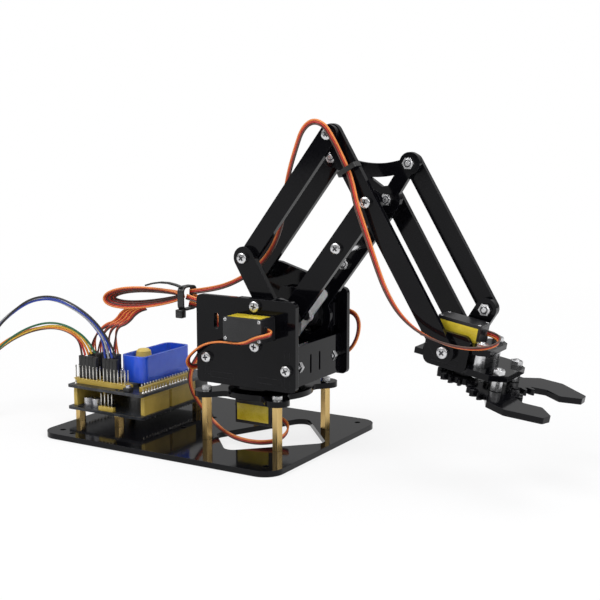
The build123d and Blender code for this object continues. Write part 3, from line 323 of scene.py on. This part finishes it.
# Cords
def route(points):
    """Points of the NURBS line through a route, in millimetres of the part's frame."""
    curve = bpy.data.curves.new("route", "CURVE")
    curve.dimensions = "3D"
    curve.resolution_u = 10
    spline = curve.splines.new("NURBS")
    spline.points.add(len(points) - 1)
    for control, point in zip(spline.points, points):
        control.co = (*((Vector(point) + turret_axis) * mm), 1.0)
    spline.order_u = 3
    spline.use_endpoint_u = True
    holder = bpy.data.objects.new("route", curve)
    scene.collection.objects.link(holder)
    mesh = bpy.data.meshes.new_from_object(holder)
    line = [vert.co / mm for vert in mesh.vertices]
    bpy.data.objects.remove(holder)
    bpy.data.curves.remove(curve)
    bpy.data.meshes.remove(mesh)
    return line


def shares(line):
    """Distance along a line at each point, as a share of its length, and the length."""
    steps = [0.0]
    for a, b in zip(line, line[1:]):
        steps.append(steps[-1] + (b - a).length)
    return [s / steps[-1] for s in steps], steps[-1]


def tangents(line):
    """Direction of a line at each of its points."""
    ends = [line[0]] + line + [line[-1]]
    return [(after - before).normalized() for before, after in zip(ends, ends[2:])]


def widths(line, first, last=None):
    """The ribbon's width direction at each point: carried along, and turned evenly to end at last."""
    along = tangents(line)
    across = Vector(first)
    across = (across - along[0] * across.dot(along[0])).normalized()
    found = [across]
    for before, after in zip(along, along[1:]):
        across = before.rotation_difference(after) @ across
        across = (across - after * across.dot(after)).normalized()
        found.append(across)
    if last is not None:
        goal = Vector(last)
        goal = (goal - along[-1] * goal.dot(along[-1])).normalized()
        extra = math.atan2(found[-1].cross(goal).dot(along[-1]), found[-1].dot(goal))
        spots, _ = shares(line)
        found = [Quaternion(axis, extra * share) @ way for axis, share, way in zip(along, spots, found)]
    return found


def strand(piece, line, across, radius, index, step_of, sides=8):
    """One round wire beside the line; step_of gives its step across and off the ribbon at a share."""
    spots, _ = shares(line)
    rows = []
    for point, way, axis, share in zip(line, across, tangents(line), spots):
        up = axis.cross(way)
        side, rise = step_of(share)
        centre = point + way * side + up * rise
        rows.append([centre + (way * math.cos(a) + up * math.sin(a)) * radius
                     for a in (2 * math.pi * k / sides for k in range(sides))])
    piece.grid(rows, index)


def ribbon(name, line, across, colours, radius=0.52, pitch=1.0, body=None, start_pitch=None,
           end_pitch=None, looseness=0.0):
    """Flat lead of several wires side by side; the pitch may open at its ends, where it meets plugs."""
    piece = Piece()
    _, length = shares(line)
    middle = (len(colours) - 1) / 2
    for k in range(len(colours)):
        def step_of(share, k=k):
            gap = pitch
            for wide, distance in ((start_pitch, share), (end_pitch, 1 - share)):
                if wide:
                    near = max(0.0, 1 - distance * length / 16)
                    gap += (wide - pitch) * near * near * (3 - 2 * near)
            sway = looseness * math.sin(math.pi * share)
            return (gap * (middle - k) + sway * 0.5 * math.sin(9 * share + 2.1 * k),
                    sway * math.sin(7 * share + 1.7 * k))
        strand(piece, line, across, radius, k, step_of)
    return piece.made(name, "lead_insulation", colours, body, sharp=70.0)


def declare(line):
    """Works out a cord's length and its points in metres; nothing keeps them."""
    _, length = shares(line)
    [point * mm for point in line]


def part_point(x, y, z):
    """A point given from the turret's axis, in metres of the part's frame."""
    return (Vector((x, y, z)) + turret_axis) * mm


def nearest(line, spot):
    """Number of the line's point that lies closest to a spot given from the turret's axis."""
    return min(range(len(line)), key=lambda k: (line[k] * mm - part_point(*spot)).length)


tie_y = -13.1               # the gripper's lead, where the forearm's tie holds it

front_line = route([(123.9, 3.3, 69.7), (129.5, 2.6, 68.9), (133, -3.5, 66.8), (129.5, -11.5, 65.2),
                    (121.5, -16.5, 65), (111, -18, 66.4), (98, -18, 70.4), (87, -17.4, 78),
                    (79, -16.9, 89), (73, -16.2, 102), (67.2, -15.9, 117), (61.7, -15.9, 131),
                    (57.4, tie_y, 143.5), (54.3, tie_y, 149.4)])
front_lead = ribbon("gripper_lead_run", front_line, widths(front_line, (0, 0, -1), (1, 0, 0.5)), servo_wires)
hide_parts("gripper_lead_front")
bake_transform(front_lead)
declare(front_line)

rear_line = route([(54.3, tie_y, 149.4), (51.2, tie_y, 155.3), (49.4, -17.6, 162.6), (45.8, -19.6, 169.3),
                   (38.5, -18.6, 171), (31, -15.5, 166.5), (25.5, -12, 157.5), (19.8, -8.8, 146.5),
                   (16.4, -7.6, 134.5), (14.8, -7, 122), (10.2, -5.6, 110), (1.8, -3.8, 98.6),
                   (-9.2, -3.4, 90), (-20, -4.6, 84), (-31.5, -6.6, 80.4), (-44.9, -7.8, 78.2)])
rear_across = widths(rear_line, (1, 0, 0.5), (0, 0.3, 1))
body_changes = [(34, -17, 169.5), (16.4, -7.6, 134.5), (-9.2, -3.4, 90)]
cuts = [0] + [nearest(rear_line, spot) for spot in body_changes] + [len(rear_line) - 1]
body_pairs = [("forearm", "triangle_body"), ("triangle_body", "upper_arm"), ("upper_arm", "turret"),
              ("turret", "base")]
for order, ((first, second), begin, stop) in enumerate(zip(body_pairs, cuts, cuts[1:])):
    line = rear_line[begin:stop + 1]
    stretch_piece = ribbon(f"gripper_lead_stretch_{order + 1}", line, rear_across[begin:stop + 1],
                           servo_wires)
    if order == 0:
        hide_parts("gripper_lead_rear")
    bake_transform(stretch_piece)
    declare(line)

near_line = route([(24.5, -37.5, 67.5), (28, -38.8, 67), (27.2, -42.2, 66.2), (20.5, -42.9, 64.4),
                   (13, -40.9, 60.6), (4, -38.4, 59.6), (-6, -36, 59.2), (-17, -33.4, 56.4),
                   (-24.5, -32, 51.8), (-30.2, -31.4, 46.5), (-31.5, -26.5, 40.8), (-27.6, -20, 41.8),
                   (-24, -14.6, 48.5), (-23.2, -11.6, 58.5), (-25, -11.2, 68), (-32, -11.2, 74),
                   (-44.7, -11, 76)])
near_lead = ribbon("near_servo_lead_run", near_line, widths(near_line, (0, 0, 1), (0, 0.3, 1)), servo_wires)
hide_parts("near_servo_lead")
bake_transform(near_lead)
declare(near_line)

far_line = route([(24.5, 37.5, 67.5), (31, 37.4, 68.2), (36.4, 37, 63.4), (36, 36.6, 54), (31, 35.6, 45),
                  (20, 33.8, 40.4), (4, 32.6, 42), (-12, 33.2, 46.8), (-25, 32.4, 51.2), (-31.6, 22, 56),
                  (-31.4, 11, 62.5), (-31, 2, 70), (-35.6, -3, 74.6), (-45.2, -4.4, 75)])
far_lead = ribbon("far_servo_lead_run", far_line, widths(far_line, (0, 0, 1), (0, 0.3, 1)), servo_wires)
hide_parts("far_servo_lead")
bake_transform(far_lead)
declare(far_line)

base_line = route([(7.6, 0, 12.5), (13.6, -1.4, 11.6), (18.4, -8, 8.4), (17.4, -17, 5.3), (9.6, -23.6, 4.7),
                   (-3, -23, 4.7), (-16, -16.5, 4.9), (-28, -10.6, 8), (-36.6, -10.4, 15.6),
                   (-41.8, -12.8, 25.6), (-41.2, -13.8, 36), (-35.8, -11, 46), (-31.6, -6.4, 56),
                   (-31.2, -4, 65), (-36, -5.6, 70.6), (-45.6, -7.6, 71.6)])
base_lead = ribbon("base_servo_lead_run", base_line, widths(base_line, (0, 0, 1), (0, 0.3, 1)), servo_wires,
                   body="base")
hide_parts("base_servo_lead")
declare(base_line)

# The spare length of the leads: loops held by a tie behind the turret
hank_middle = Vector((-75.6, -7.8, 73.0))
hank_rise = math.tan(math.radians(6))
hank_points = []
turns = 3
turn_points = 14
for k in range(turns * turn_points + 1):
    angle = 2 * math.pi * k / turn_points
    turn = k / turn_points
    reach = 28.6 - 1.3 * turn
    height = 7.6 - 1.1 * turn
    rightness = (1 + math.cos(angle)) / 2
    x = reach * math.cos(angle)
    z = x * hank_rise + height * (1 - 0.5 * rightness) * math.sin(angle)
    hank_points.append(hank_middle + Vector((x, -3.3 + 2.1 * turn, z)))
hank_line = route(hank_points)
hank = ribbon("lead_loops", hank_line, widths(hank_line, (0, -0.8, 0.6)), servo_wires, body="base")
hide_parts("lead_hank")
declare(hank_line)

# The servo leads' ends, from under the loops down to their plugs on the shield
plug_xs = (-110.0, -104.5, -99.0, -93.5)
tail_begins = (-93.5, -90.5, -87.5, -84.5)
for order, (x, begin) in enumerate(zip(plug_xs, tail_begins)):
    plug = Piece()
    centre = x + turret_axis.x
    plug.block((centre - 1.24, -14.2, 25.72), (centre + 1.24, -6.8, 38.9), 0, soft=0.3)
    plug.block((centre - 0.5, -14.45, 27.0), (centre + 0.5, -14.1, 37.6), 0, soft=0.12)
    for k in range(3):
        y = -10.5 + (k - 1) * 2.4
        plug.rod((centre, y, 38.6), (centre, y, 39.15), 0.95, 1, sides=12, tip=0.8)
        for wall in (centre - 1.1, centre + 1.1):
            plug.block((wall - 0.2, y - 0.5, 30.5), (wall + 0.2, y + 0.5, 33.6), 1, soft=0.08)
    servo_plug = plug.made(f"servo_plug_{order + 1}", "plug_black", [plug_black, chip], "base")
    z = 65 + (begin + 75.6) * hank_rise - 1
    line = route([(begin + 9, -8.0, z + 3.5), (begin + 3, -8.2, z + 2.2), (begin - 3, -9.4, z - 5.5),
                  (begin - 9, -11.6, 55.0), (x - 0.3, -13.1, 47.0), (x, -13.5, 39.4)])
    tail = ribbon(f"servo_plug_tail_{order + 1}", line, widths(line, (0, -0.6, 0.8), (0, 1, 0)), servo_wires,
                  body="base", end_pitch=2.2)
    if order == 0:
        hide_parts("lead_tails")
    declare(line)

# Jumper wires to the left, ending in their plugs on the table
upper_colours = [wires[c] for c in ("black", "blue", "grey", "blue")]
lower_colours = [wires[c] for c in ("green", "yellow", "amber", "red", "brown")]
upper_line = route([(-88.0, -24.5, 39.6), (-89.4, -25.0, 48.0), (-97.0, -25.6, 57.8), (-110.0, -25.8, 65.6),
                    (-126.0, -25.4, 70.4), (-143.0, -24.9, 69.0), (-158.0, -24.6, 62.0),
                    (-172.0, -26.0, 50.6), (-182.5, -29.0, 38.0), (-187.5, -34.5, 24.0),
                    (-186.8, -42.5, 10.8), (-183.0, -52.0, 3.2), (-179.0, -61.5, 2.05)])
lower_line = route([(-104.0, -24.5, 39.9), (-105.8, -25.2, 46.4), (-113.6, -26.4, 52.8),
                    (-127.5, -27.2, 55.0), (-144.0, -28.4, 51.4), (-158.0, -30.8, 45.0),
                    (-168.5, -35.2, 36.0), (-173.8, -42.0, 24.5), (-172.4, -50.5, 11.5),
                    (-167.0, -58.4, 3.4), (-162.8, -65.3, 2.05)])
table_plugs = [(-179.0, -62.4, len(upper_colours)), (-162.8, -66.4, len(lower_colours))]


def housing(piece, low, high, axis, index=0):
    """Crimp housing: a rounded block with a latch window on two sides."""
    low, high = Vector(low), Vector(high)
    piece.block(low, high, index, soft=0.22)
    middle = (low + high) / 2
    half = (high - low) / 2
    for way in (-1, 1):
        window = half.copy()
        window[axis] = 1.5
        side = 1 if axis == 2 else 2
        window[side] = half[side] + 0.02
        window[0] = 0.55
        centre = middle.copy()
        centre[axis] += half[axis] * 0.25 * way
        piece.block(centre - window, centre + window, index + 1, soft=0.1)


for order, (x, y, count) in enumerate(table_plugs):
    piece = Piece()
    for k in range(count):
        centre = x + turret_axis.x + (k - (count - 1) / 2) * pin_pitch
        front = y + turret_axis.y
        shift = 0.5 * ((k * 7) % 3) / 2
        housing(piece, (centre - 1.21, front - 13.9, 0.03), (centre + 1.21, front - shift, 2.5), 1)
        piece.rod((centre, front - shift - 0.6, 1.27), (centre, front + 0.7, 1.27), 0.62, 1, sides=10)
    piece.made(f"table_plug_{order + 1}", "plug_black", [plug_black, chip], "base")
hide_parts("jumper_plugs")

jumper_form = {"radius": 0.62, "pitch": 1.3, "body": "base", "start_pitch": pin_pitch,
               "end_pitch": pin_pitch, "looseness": 0.9}
upper_across = widths(upper_line, (1, 0, 0), (1, 0, 0))
lower_across = widths(lower_line, (1, 0, 0), (1, 0, 0))
upper_jumpers = ribbon("jumper_wires_upper", upper_line, upper_across, upper_colours, **jumper_form)
lower_jumpers = ribbon("jumper_wires_lower", lower_line, lower_across, lower_colours, **jumper_form)
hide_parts("jumper_upper")
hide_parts("jumper_lower")
declare(upper_line)
declare(lower_line)


# Servo cases: bare labels, seams and the four case screws
def servo_place(origin, shaft, away):
    """Frame on a servo's shaft at its ears: z along the shaft, x towards the far end of the case."""
    z, x = Vector(shaft).normalized(), Vector(away).normalized()
    y = z.cross(x)
    matrix = Matrix((x, y, z)).transposed().to_4x4()
    matrix.translation = Vector(origin)
    return matrix


down = -(gripper_frame.to_3x3() @ Vector((0, 0, 1)))
back = -(gripper_frame.to_3x3() @ Vector((1, 0, 0)))
servos = {
    "base_servo": ("base", servo_place((34.5, 3.0, 24.5), (0, 0, 1), (-1, 0, 0)), 1),
    "servo_near": ("turret", servo_place((51.5, -22.5, 67.5), (0, 1, 0), (-1, 0, 0)), 1),
    "servo_far": ("turret", servo_place((51.5, 28.5, 67.5), (0, -1, 0), (-1, 0, 0)), -1),
    "gripper_servo": ("gripper", servo_place(gripper_frame @ Vector((7.4, 0, -0.7)), down, back), -1),
}
case_side = 6.1             # from a case's middle to its broad sides
label_thick = 0.12
for name, (body, place, side) in servos.items():
    piece = Piece()
    for way in (side, -side):
        low_y, high_y = sorted((case_side * way, (case_side + label_thick) * way))
        piece.block((-4.6, low_y, -14.2), (15.4, high_y, -5.0), 0, soft=0.05, place=place)
    piece.made(name + "_label", "module_yellow", [label_yellow], body)
    piece = Piece()
    for x in (-4.6, 15.6):
        for y in (-4.8, 4.8):
            piece.rod((x, y, -15.7), (x, y, -16.02), 1.0, 0, sides=20, tip=0.85, place=place)
            # A flat cross of dark steel on each head: the painted shade of its cross recess.
            piece.block((x - 0.7, y - 0.13, -16.06), (x + 0.7, y + 0.13, -15.9), 1, place=place)
            piece.block((x - 0.13, y - 0.7, -16.06), (x + 0.13, y + 0.7, -15.9), 1, place=place)
    for z in (-15.0, -3.2):
        for y in (-6.13, 6.13):
            piece.block((-5.2, y - 0.02, z - 0.12), (16.2, y + 0.02, z + 0.12), 2, place=place)
        for x in (-5.93, 16.93):
            piece.block((x - 0.02, -5.4, z - 0.12), (x + 0.02, 5.4, z + 0.12), 2, place=place)
    piece.made(name + "_case_screws", "screw_steel", [steel, recess_shade_steel, chip], body)


# Screw heads: a domed cap with a cross recess on every head of the CAD screws
def solids_of(node):
    """Corner points of each separate solid in a CAD node, in millimetres."""
    mesh = bmesh.new()
    mesh.from_mesh(cad[node].data)
    bmesh.ops.remove_doubles(mesh, verts=mesh.verts, dist=1e-6)
    left = set(mesh.verts)
    while left:
        queue = [left.pop()]
        found = [queue[0].co / mm]
        while queue:
            for edge in queue.pop().link_edges:
                for vert in edge.verts:
                    if vert in left:
                        left.remove(vert)
                        queue.append(vert)
                        found.append(vert.co / mm)
        yield np.array(found)
    mesh.free()


screw_ways = [Vector(way) for way in ((1, 0, 0), (0, 1, 0), (0, 0, 1))] + [down, back]


def ends_of(node, least, most, corners):
    """Middle and outward direction of the screws' flat ends in a node whose reach lies between
    least and most, and which have more than so many corners."""
    for points in solids_of(node):
        best = min(screw_ways, key=lambda way: np.var(np.cross(points - points.mean(0), np.array(way))))
        for way in (best, -best):
            reach = points @ np.array(way)
            end = points[reach > reach.max() - 0.02]
            middle = end.mean(0)
            radius = np.linalg.norm(end - middle, axis=1).max()
            if least < radius < most and len(end) > corners:
                yield Vector(middle), way


def add_head(piece, middle, way, height, spin):
    """Domed cap with a cross recess: rings, then the flat round the recess, its walls and floor, these last
    in painted shade.
    """
    place = Matrix.Translation(middle) @ way.to_track_quat("Z", "Y").to_matrix().to_4x4()
    place = place @ Matrix.Rotation(spin, 4, "Z")
    sides = 36
    bm = piece.bm

    def ring(radius, z):
        return [bm.verts.new(place @ Vector((radius * math.cos(a), radius * math.sin(a), z)))
                for a in (2 * math.pi * k / sides for k in range(sides))]

    rings = [ring(2.78, -0.05), ring(2.74, height * 0.25), ring(2.45, height * 0.68),
             ring(1.95, height * 0.95)]
    for outer, inner in zip(rings, rings[1:]):
        for k in range(sides):
            bm.faces.new((outer[k], outer[(k + 1) % sides], inner[(k + 1) % sides], inner[k]))
    arm, half = 1.5, 0.42
    cross = [(arm, -half), (arm, half), (half, half), (half, arm), (-half, arm), (-half, half),
             (-arm, half), (-arm, -half), (-half, -half), (-half, -arm), (half, -arm), (half, -half)]
    top = [bm.verts.new(place @ Vector((x, y, height))) for x, y in cross]
    flat_edges = [bm.edges.get((rings[-1][k], rings[-1][(k + 1) % sides])) for k in range(sides)]
    flat_edges += [bm.edges.new((top[k], top[(k + 1) % 12])) for k in range(12)]
    bmesh.ops.triangle_fill(bm, use_beauty=True, use_dissolve=False, edges=flat_edges)
    piece.close(0)
    # The recess's walls and floor take the dark steel: painted shade.
    floor = [bm.verts.new(place @ Vector((x * 0.72, y * 0.72, 0.02))) for x, y in cross]
    for k in range(12):
        bm.faces.new((top[k], top[(k + 1) % 12], floor[(k + 1) % 12], floor[k]))
    bm.faces.new(floor)
    piece.close(1, smooth=False)


for node in ("turret_bolts", "fixed_pivot_bolt", "arm_bolts", "lever_bolt", "triangle_bolts",
             "forearm_bolt", "gripper_bolts"):
    piece = Piece()
    for order, (middle, way) in enumerate(ends_of(node, 2.55, 3.05, 10)):
        add_head(piece, middle, way, 0.5, 0.7 + 1.9 * order)
    piece.made(node + "_heads", "screw_steel", [steel, recess_shade_steel], cad[node]["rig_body"], sharp=30.0)

# Bolt ends in their nuts: a raised ring, inside it a dark steel disc of painted shade for the gap, and the
# bolt's tip
for node in ("arm_bolts", "lever_bolt", "triangle_bolts", "forearm_bolt", "gripper_bolts",
             "fixed_pivot_bolt"):
    piece = Piece()
    for middle, way in ends_of(node, 3.05, 3.35, 0):
        inside = middle - way * 0.1
        piece.rod(inside, middle + way * 0.18, 2.5, 0, sides=30, tip=2.25)
        # Painted shade: a dark disc where the gap between nut and bolt falls dark.
        piece.rod(inside, middle + way * 0.20, 1.95, 1, sides=30)
        piece.rod(inside, middle + way * 0.75, 1.5, 0, sides=24, tip=1.15)
    piece.made(node + "_ends", "screw_steel", [steel, recess_shade_steel], cad[node]["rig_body"], sharp=30.0)

hub = Piece()
add_head(hub, Vector((51.5, 15.62, 67.5)), Vector((0, -1, 0)), 0.5, 0.4)
hub.made("shoulder_horn_screw", "screw_steel", [steel, recess_shade_steel], "upper_arm", sharp=30.0)


# Controller and shield: parts, pins and crimp housings
board_mid = Vector((-52.8, 5.3, 0.0))
board_top = 10.6
shield_top = 23.15
strip_top = 25.6            # top of the shield's pin strips
header_xs = (-76.9, -28.7)  # the two long header rows
header_ys = [-24.2 + pin_pitch * k + (1.2 if k > 8 else 0.0) for k in range(18)]

piece = Piece()
piece.block((-50.0, 3.5, 12.0), (-43.4, 10.6, 12.5), 0, soft=0.15)
for k in range(8):
    y = 4.0 + k * 0.86
    for x in (-51.9, -42.4):
        piece.block((x, y, board_top), (x + 0.9, y + 0.35, 11.1), 1)
for x, y in ((-69.5, -6.0), (-66.0, 14.0), (-38.5, -14.0), (-60.0, -14.5), (-37.5, 18.0), (-57.0, 22.0)):
    piece.block((x, y, 10.55), (x + 3.4, y + 1.7, 11.7), 0, soft=0.15)
    piece.block((x - 0.5, y + 0.2, 10.55), (x, y + 1.5, 11.2), 1)
    piece.block((x + 3.4, y + 0.2, 10.55), (x + 3.9, y + 1.5, 11.2), 1)
for x, y in ((-64.0, -21.5), (-70.0, -21.5)):
    piece.rod((x, y, board_top), (x, y, 15.4), 2.9, 2, sides=28)
    piece.rod((x, y, 15.4), (x, y, 15.6), 2.9, 1, sides=28, tip=2.5)
piece.block((-57.6, -28.2, board_top), (-47.2, -25.7, 13.0), 3, soft=0.2)
for k in range(4):
    x = -56.2 + k * pin_pitch
    piece.block((x - 0.3, -27.3, 12.9), (x + 0.3, -26.7, 20.6), 1, soft=0.1)
for x in header_xs:
    for y in header_ys:
        piece.rod((x, y, 9.02), (x, y, 7.4), 0.75, 1, sides=8, tip=0.3)
piece.made("board_parts", "plug_black", [chip, tin, port_steel, yellow], "base")

piece = Piece()
for x in header_xs:
    for y in header_ys:
        piece.rod((x, y, shield_top), (x, y, 23.6), 0.95, 0, sides=10, tip=0.55)
        piece.rod((x, y, 23.5), (x, y, 25.2), 0.34, 0, sides=8, tip=0.22)
housing_rows = [(-69.5, 5), (-53.5, 4)]     # middle and number of the crimp housings
for k in range(15):
    x = -77.8 + pin_pitch * k
    for y in (-22.9, -20.2):
        piece.block((x - 0.3, y - 0.3, strip_top), (x + 0.3, y + 0.3, 33.5), 0, soft=0.08)
    piece.block((x - 1.05, -24.15, strip_top), (x + 1.05, -18.85, 26.1), 1, soft=0.25)
for k in range(18):
    y = -22.0 + pin_pitch * k
    piece.block((-31.6, y - 0.3, strip_top), (-31.0, y + 0.3, 27.5), 0, soft=0.08)
piece.block((-40.2, -27.6, 23.2), (-36.0, -23.4, 25.4), 2, soft=0.3)
piece.rod((-38.1, -25.5, 25.4), (-38.1, -25.5, 26.6), 1.3, 3, sides=20)
for x, y in ((-46.5, -26.4), (-43.5, -26.4), (-71.0, 31.0), (-66.5, 31.0), (-38.0, 33.0), (-45.0, 34.0)):
    piece.block((x, y, shield_top), (x + 1.6, y + 0.9, 23.75), 2, soft=0.1)
piece.made("shield_parts", "header_yellow", [tin, yellow, chip, port_steel], "base")

piece = Piece()
for mid, count in housing_rows:
    for k in range(count):
        centre = mid + (k - (count - 1) / 2) * pin_pitch
        drop = 0.35 * ((k * 5) % 3) / 2
        housing(piece, (centre - 1.22, -22.74, 25.74), (centre + 1.22, -20.26, 39.1 - drop), 2)
        piece.rod((centre, -21.5, 38.4), (centre, -21.5, 39.17 - drop), 0.8, 1, sides=12)
plugs = piece.made("crimp_housings", "plug_black", [plug_black, chip], "base")
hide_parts("plug_housings")

# Connector mouths at the board's rear edge, their openings painted shade: a dark steel sheet and disc
piece = Piece()
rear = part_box("board_ports")[1].y / mm
usb_x = board_mid.x - 15.5
jack_x = board_mid.x + 15.5
jack_z = 15.8
# The USB mouth: a thin dark steel sheet, painted shade of the opening.
piece.block((usb_x - 5.1, rear - 0.05, 11.6), (usb_x + 5.1, rear + 0.03, 20.0), 0, soft=0.02)
piece.block((usb_x - 3.2, rear - 0.02, 13.6), (usb_x + 3.2, rear + 0.25, 18.0), 1, soft=0.1)
jack_face = board_mid.y + 30.5 + 13.5 / 2
piece.block((jack_x - 4.52, board_mid.y + 23.7, board_top), (jack_x + 4.52, jack_face + 0.03, 20.85), 2,
            soft=0.4)
# The jack's mouth: a dark steel disc, painted shade of the hole.
piece.rod((jack_x, jack_face - 0.5, jack_z), (jack_x, jack_face + 0.1, jack_z), 3.2, 0, sides=28)
piece.rod((jack_x, jack_face, jack_z), (jack_x, jack_face + 0.25, jack_z), 1.0, 3, sides=16)
piece.made("port_mouths", "port_shell", [recess_shade_steel, horn_white, plug_black, tin], "base")

# Radio receiver: knob and parts on the yellow module in its blue shell
piece = Piece()
knob_x, knob_y = -45.4, -2.0
for low_z, high_z, wide, tip in ((34.6, 38.2, 3.4, None), (38.2, 41.4, 4.6, 4.1), (41.4, 42.4, 4.1, 3.0)):
    piece.rod((knob_x, knob_y, low_z), (knob_x, knob_y, high_z), wide, 0, sides=32, tip=tip)
for y in (6.5, 13.0, 19.5):
    piece.block((-47.5, y, 34.6), (-40.0, y + 4.2, 36.6), 1, soft=0.3)
piece.made("receiver_parts", "module_yellow", [module_yellow, chip], "base")


# Cable tie: a band round the loops with its head and tail
def rounded_ring(x, middle, half_y, half_z, corner, count=9):
    """Points of a rounded rectangle across the x direction."""
    points = []
    for quarter, (sy, sz) in enumerate(((1, 1), (-1, 1), (-1, -1), (1, -1))):
        for k in range(count):
            a = math.pi / 2 * (quarter + k / (count - 1))
            points.append(Vector((x, middle.y + sy * (half_y - corner) + corner * math.cos(a),
                                  middle.z + sz * (half_z - corner) + corner * math.sin(a))))
    return points


def band(piece, middle, wide, half_y, half_z, corner, thick, index=0):
    """Closed strap round a bundle that runs along x."""
    outer = [rounded_ring(middle.x + s * wide / 2, middle, half_y + thick, half_z + thick, corner + thick)
             for s in (-1, 1)]
    inner = [rounded_ring(middle.x + s * wide / 2, middle, half_y, half_z, corner) for s in (-1, 1)]
    loops = [outer[0], outer[1], inner[1], inner[0]]
    rings = [[piece.bm.verts.new(p) for p in loop] for loop in loops]
    count = len(rings[0])
    for a, b in zip(rings, rings[1:] + rings[:1]):
        for k in range(count):
            piece.bm.faces.new((a[k], a[(k + 1) % count], b[(k + 1) % count], b[k]))
    piece.close(index)


def strap(piece, points, wide, thick, index=0):
    """Flat strip through points, its width along y."""
    rows = []
    for point, way in zip(points, tangents(points)):
        across = Vector((0, 1, 0))
        up = way.cross(across).normalized()
        rows.append([point + across * a * wide / 2 + up * b * thick / 2
                     for a, b in ((-1, -1), (1, -1), (1, 1), (-1, 1))])
    piece.grid(rows, index)


tie_middle = turret_axis + Vector((-46.6, -7.8, 75.0))
piece = Piece()
band(piece, tie_middle, 4.0, 5.4, 5.8, 2.4, 0.9)
tie_head = tie_middle - Vector((0, 0, 6.8))
piece.block(tie_head + Vector((-2.3, -8.2, -3.6)), tie_head + Vector((2.3, -4.2, 1.0)), 0, soft=0.5)
piece.block(tie_head + Vector((-1.3, -8.25, -2.2)), tie_head + Vector((1.3, -8.1, -0.6)), 1, soft=0.05)
tie_tail = [(0.4, -5.2, 6.2), (-3.5, -5.6, 7.4), (-8.0, -6.2, 8.2), (-13.0, -6.8, 8.2),
            (-18.0, -7.2, 7.4), (-22.5, -7.4, 6.0)]
strap(piece, [tie_middle + Vector(step) for step in tie_tail], 2.3, 0.9)
piece.made("lead_tie", "plug_black", [tie_nylon, chip], "base", sharp=50.0)


# Floor, light and background
floor_mesh = bpy.data.meshes.new("floor")
edge = 3.0                  # half the floor's width, in metres
floor_mesh.from_pydata([(-edge, -edge, 0), (edge, -edge, 0), (edge, edge, 0), (-edge, edge, 0)], [],
                       [(0, 1, 2, 3)])
floor = bpy.data.objects.new("floor", floor_mesh)
floor.location.z = -0.0002
scene.collection.objects.link(floor)
paper = bpy.data.materials.new("floor_paper")
paper.use_nodes = True
tree = paper.node_tree
link = tree.links.new
surface = tree.nodes["Principled BSDF"]
surface.inputs["Base Color"].default_value = (0.90, 0.90, 0.91, 1.0)
surface.inputs["Roughness"].default_value = 0.7
surface.inputs["Specular IOR Level"].default_value = 0.1
glow = tree.nodes.new("ShaderNodeEmission")
glow.inputs["Strength"].default_value = 1.0
rays = tree.nodes.new("ShaderNodeLightPath")
seen = tree.nodes.new("ShaderNodeMath")
seen.operation = "MAXIMUM"
link(rays.outputs["Is Camera Ray"], seen.inputs[0])
link(rays.outputs["Is Glossy Ray"], seen.inputs[1])
place = tree.nodes.new("ShaderNodeTexCoord")
away = tree.nodes.new("ShaderNodeVectorMath")
away.operation = "LENGTH"
link(place.outputs["Object"], away.inputs[0])
fade = tree.nodes.new("ShaderNodeMapRange")
for socket, value in (("From Min", 0.2), ("From Max", 0.7), ("To Min", 0.78), ("To Max", 1.0)):
    fade.inputs[socket].default_value = value
link(away.outputs["Value"], fade.inputs["Value"])
share = tree.nodes.new("ShaderNodeMath")
share.operation = "MULTIPLY"
link(seen.outputs[0], share.inputs[0])
link(fade.outputs[0], share.inputs[1])
blend_node = tree.nodes.new("ShaderNodeMixShader")
link(share.outputs[0], blend_node.inputs[0])
link(surface.outputs[0], blend_node.inputs[1])
link(glow.outputs[0], blend_node.inputs[2])
link(blend_node.outputs[0], tree.nodes["Material Output"].inputs["Surface"])
floor_mesh.materials.append(paper)

world = bpy.data.worlds.new("studio")
scene.world = world
world.use_nodes = True
tree = world.node_tree
link = tree.links.new
sky = tree.nodes["Background"]
rays = tree.nodes.new("ShaderNodeLightPath")
shown = tree.nodes.new("ShaderNodeMath")
shown.operation = "MAXIMUM"
link(rays.outputs["Is Camera Ray"], shown.inputs[0])
link(rays.outputs["Is Transmission Ray"], shown.inputs[1])
way = tree.nodes.new("ShaderNodeTexCoord")
parts = tree.nodes.new("ShaderNodeSeparateXYZ")
link(way.outputs["Generated"], parts.inputs[0])
dome = tree.nodes.new("ShaderNodeMapRange")
for socket, value in (("From Min", 0.05), ("From Max", 0.6), ("To Min", 0.10), ("To Max", 0.9)):
    dome.inputs[socket].default_value = value
link(parts.outputs["Z"], dome.inputs["Value"])
mirrored = tree.nodes.new("ShaderNodeMix")
link(rays.outputs["Is Glossy Ray"], mirrored.inputs[0])
mirrored.inputs[2].default_value = 0.5
link(dome.outputs[0], mirrored.inputs[3])
strength = tree.nodes.new("ShaderNodeMix")
link(shown.outputs[0], strength.inputs[0])
link(mirrored.outputs[0], strength.inputs[2])
strength.inputs[3].default_value = 1.0
sky.inputs["Color"].default_value = (1.0, 1.0, 1.0, 1.0)
link(strength.outputs[0], sky.inputs["Strength"])

lamp_target = Vector((0.02, 0.0, 0.06))
for name, place_at, size, power in (("key", (-0.7, -1.0, 1.3), 0.9, 13.0),
                                    ("side", (1.2, -0.2, 0.7), 0.7, 6.0),
                                    ("top", (0.1, 0.5, 1.5), 1.0, 7.0)):
    lamp_data = bpy.data.lights.new(name, "AREA")
    lamp_data.size = size
    lamp_data.energy = power
    lamp = bpy.data.objects.new(name, lamp_data)
    lamp.location = place_at
    lamp.rotation_euler = (lamp_target - Vector(place_at)).to_track_quat("-Z", "Y").to_euler()
    scene.collection.objects.link(lamp)

scene.view_settings.view_transform = "Standard"

bpy.context.view_layer.update()
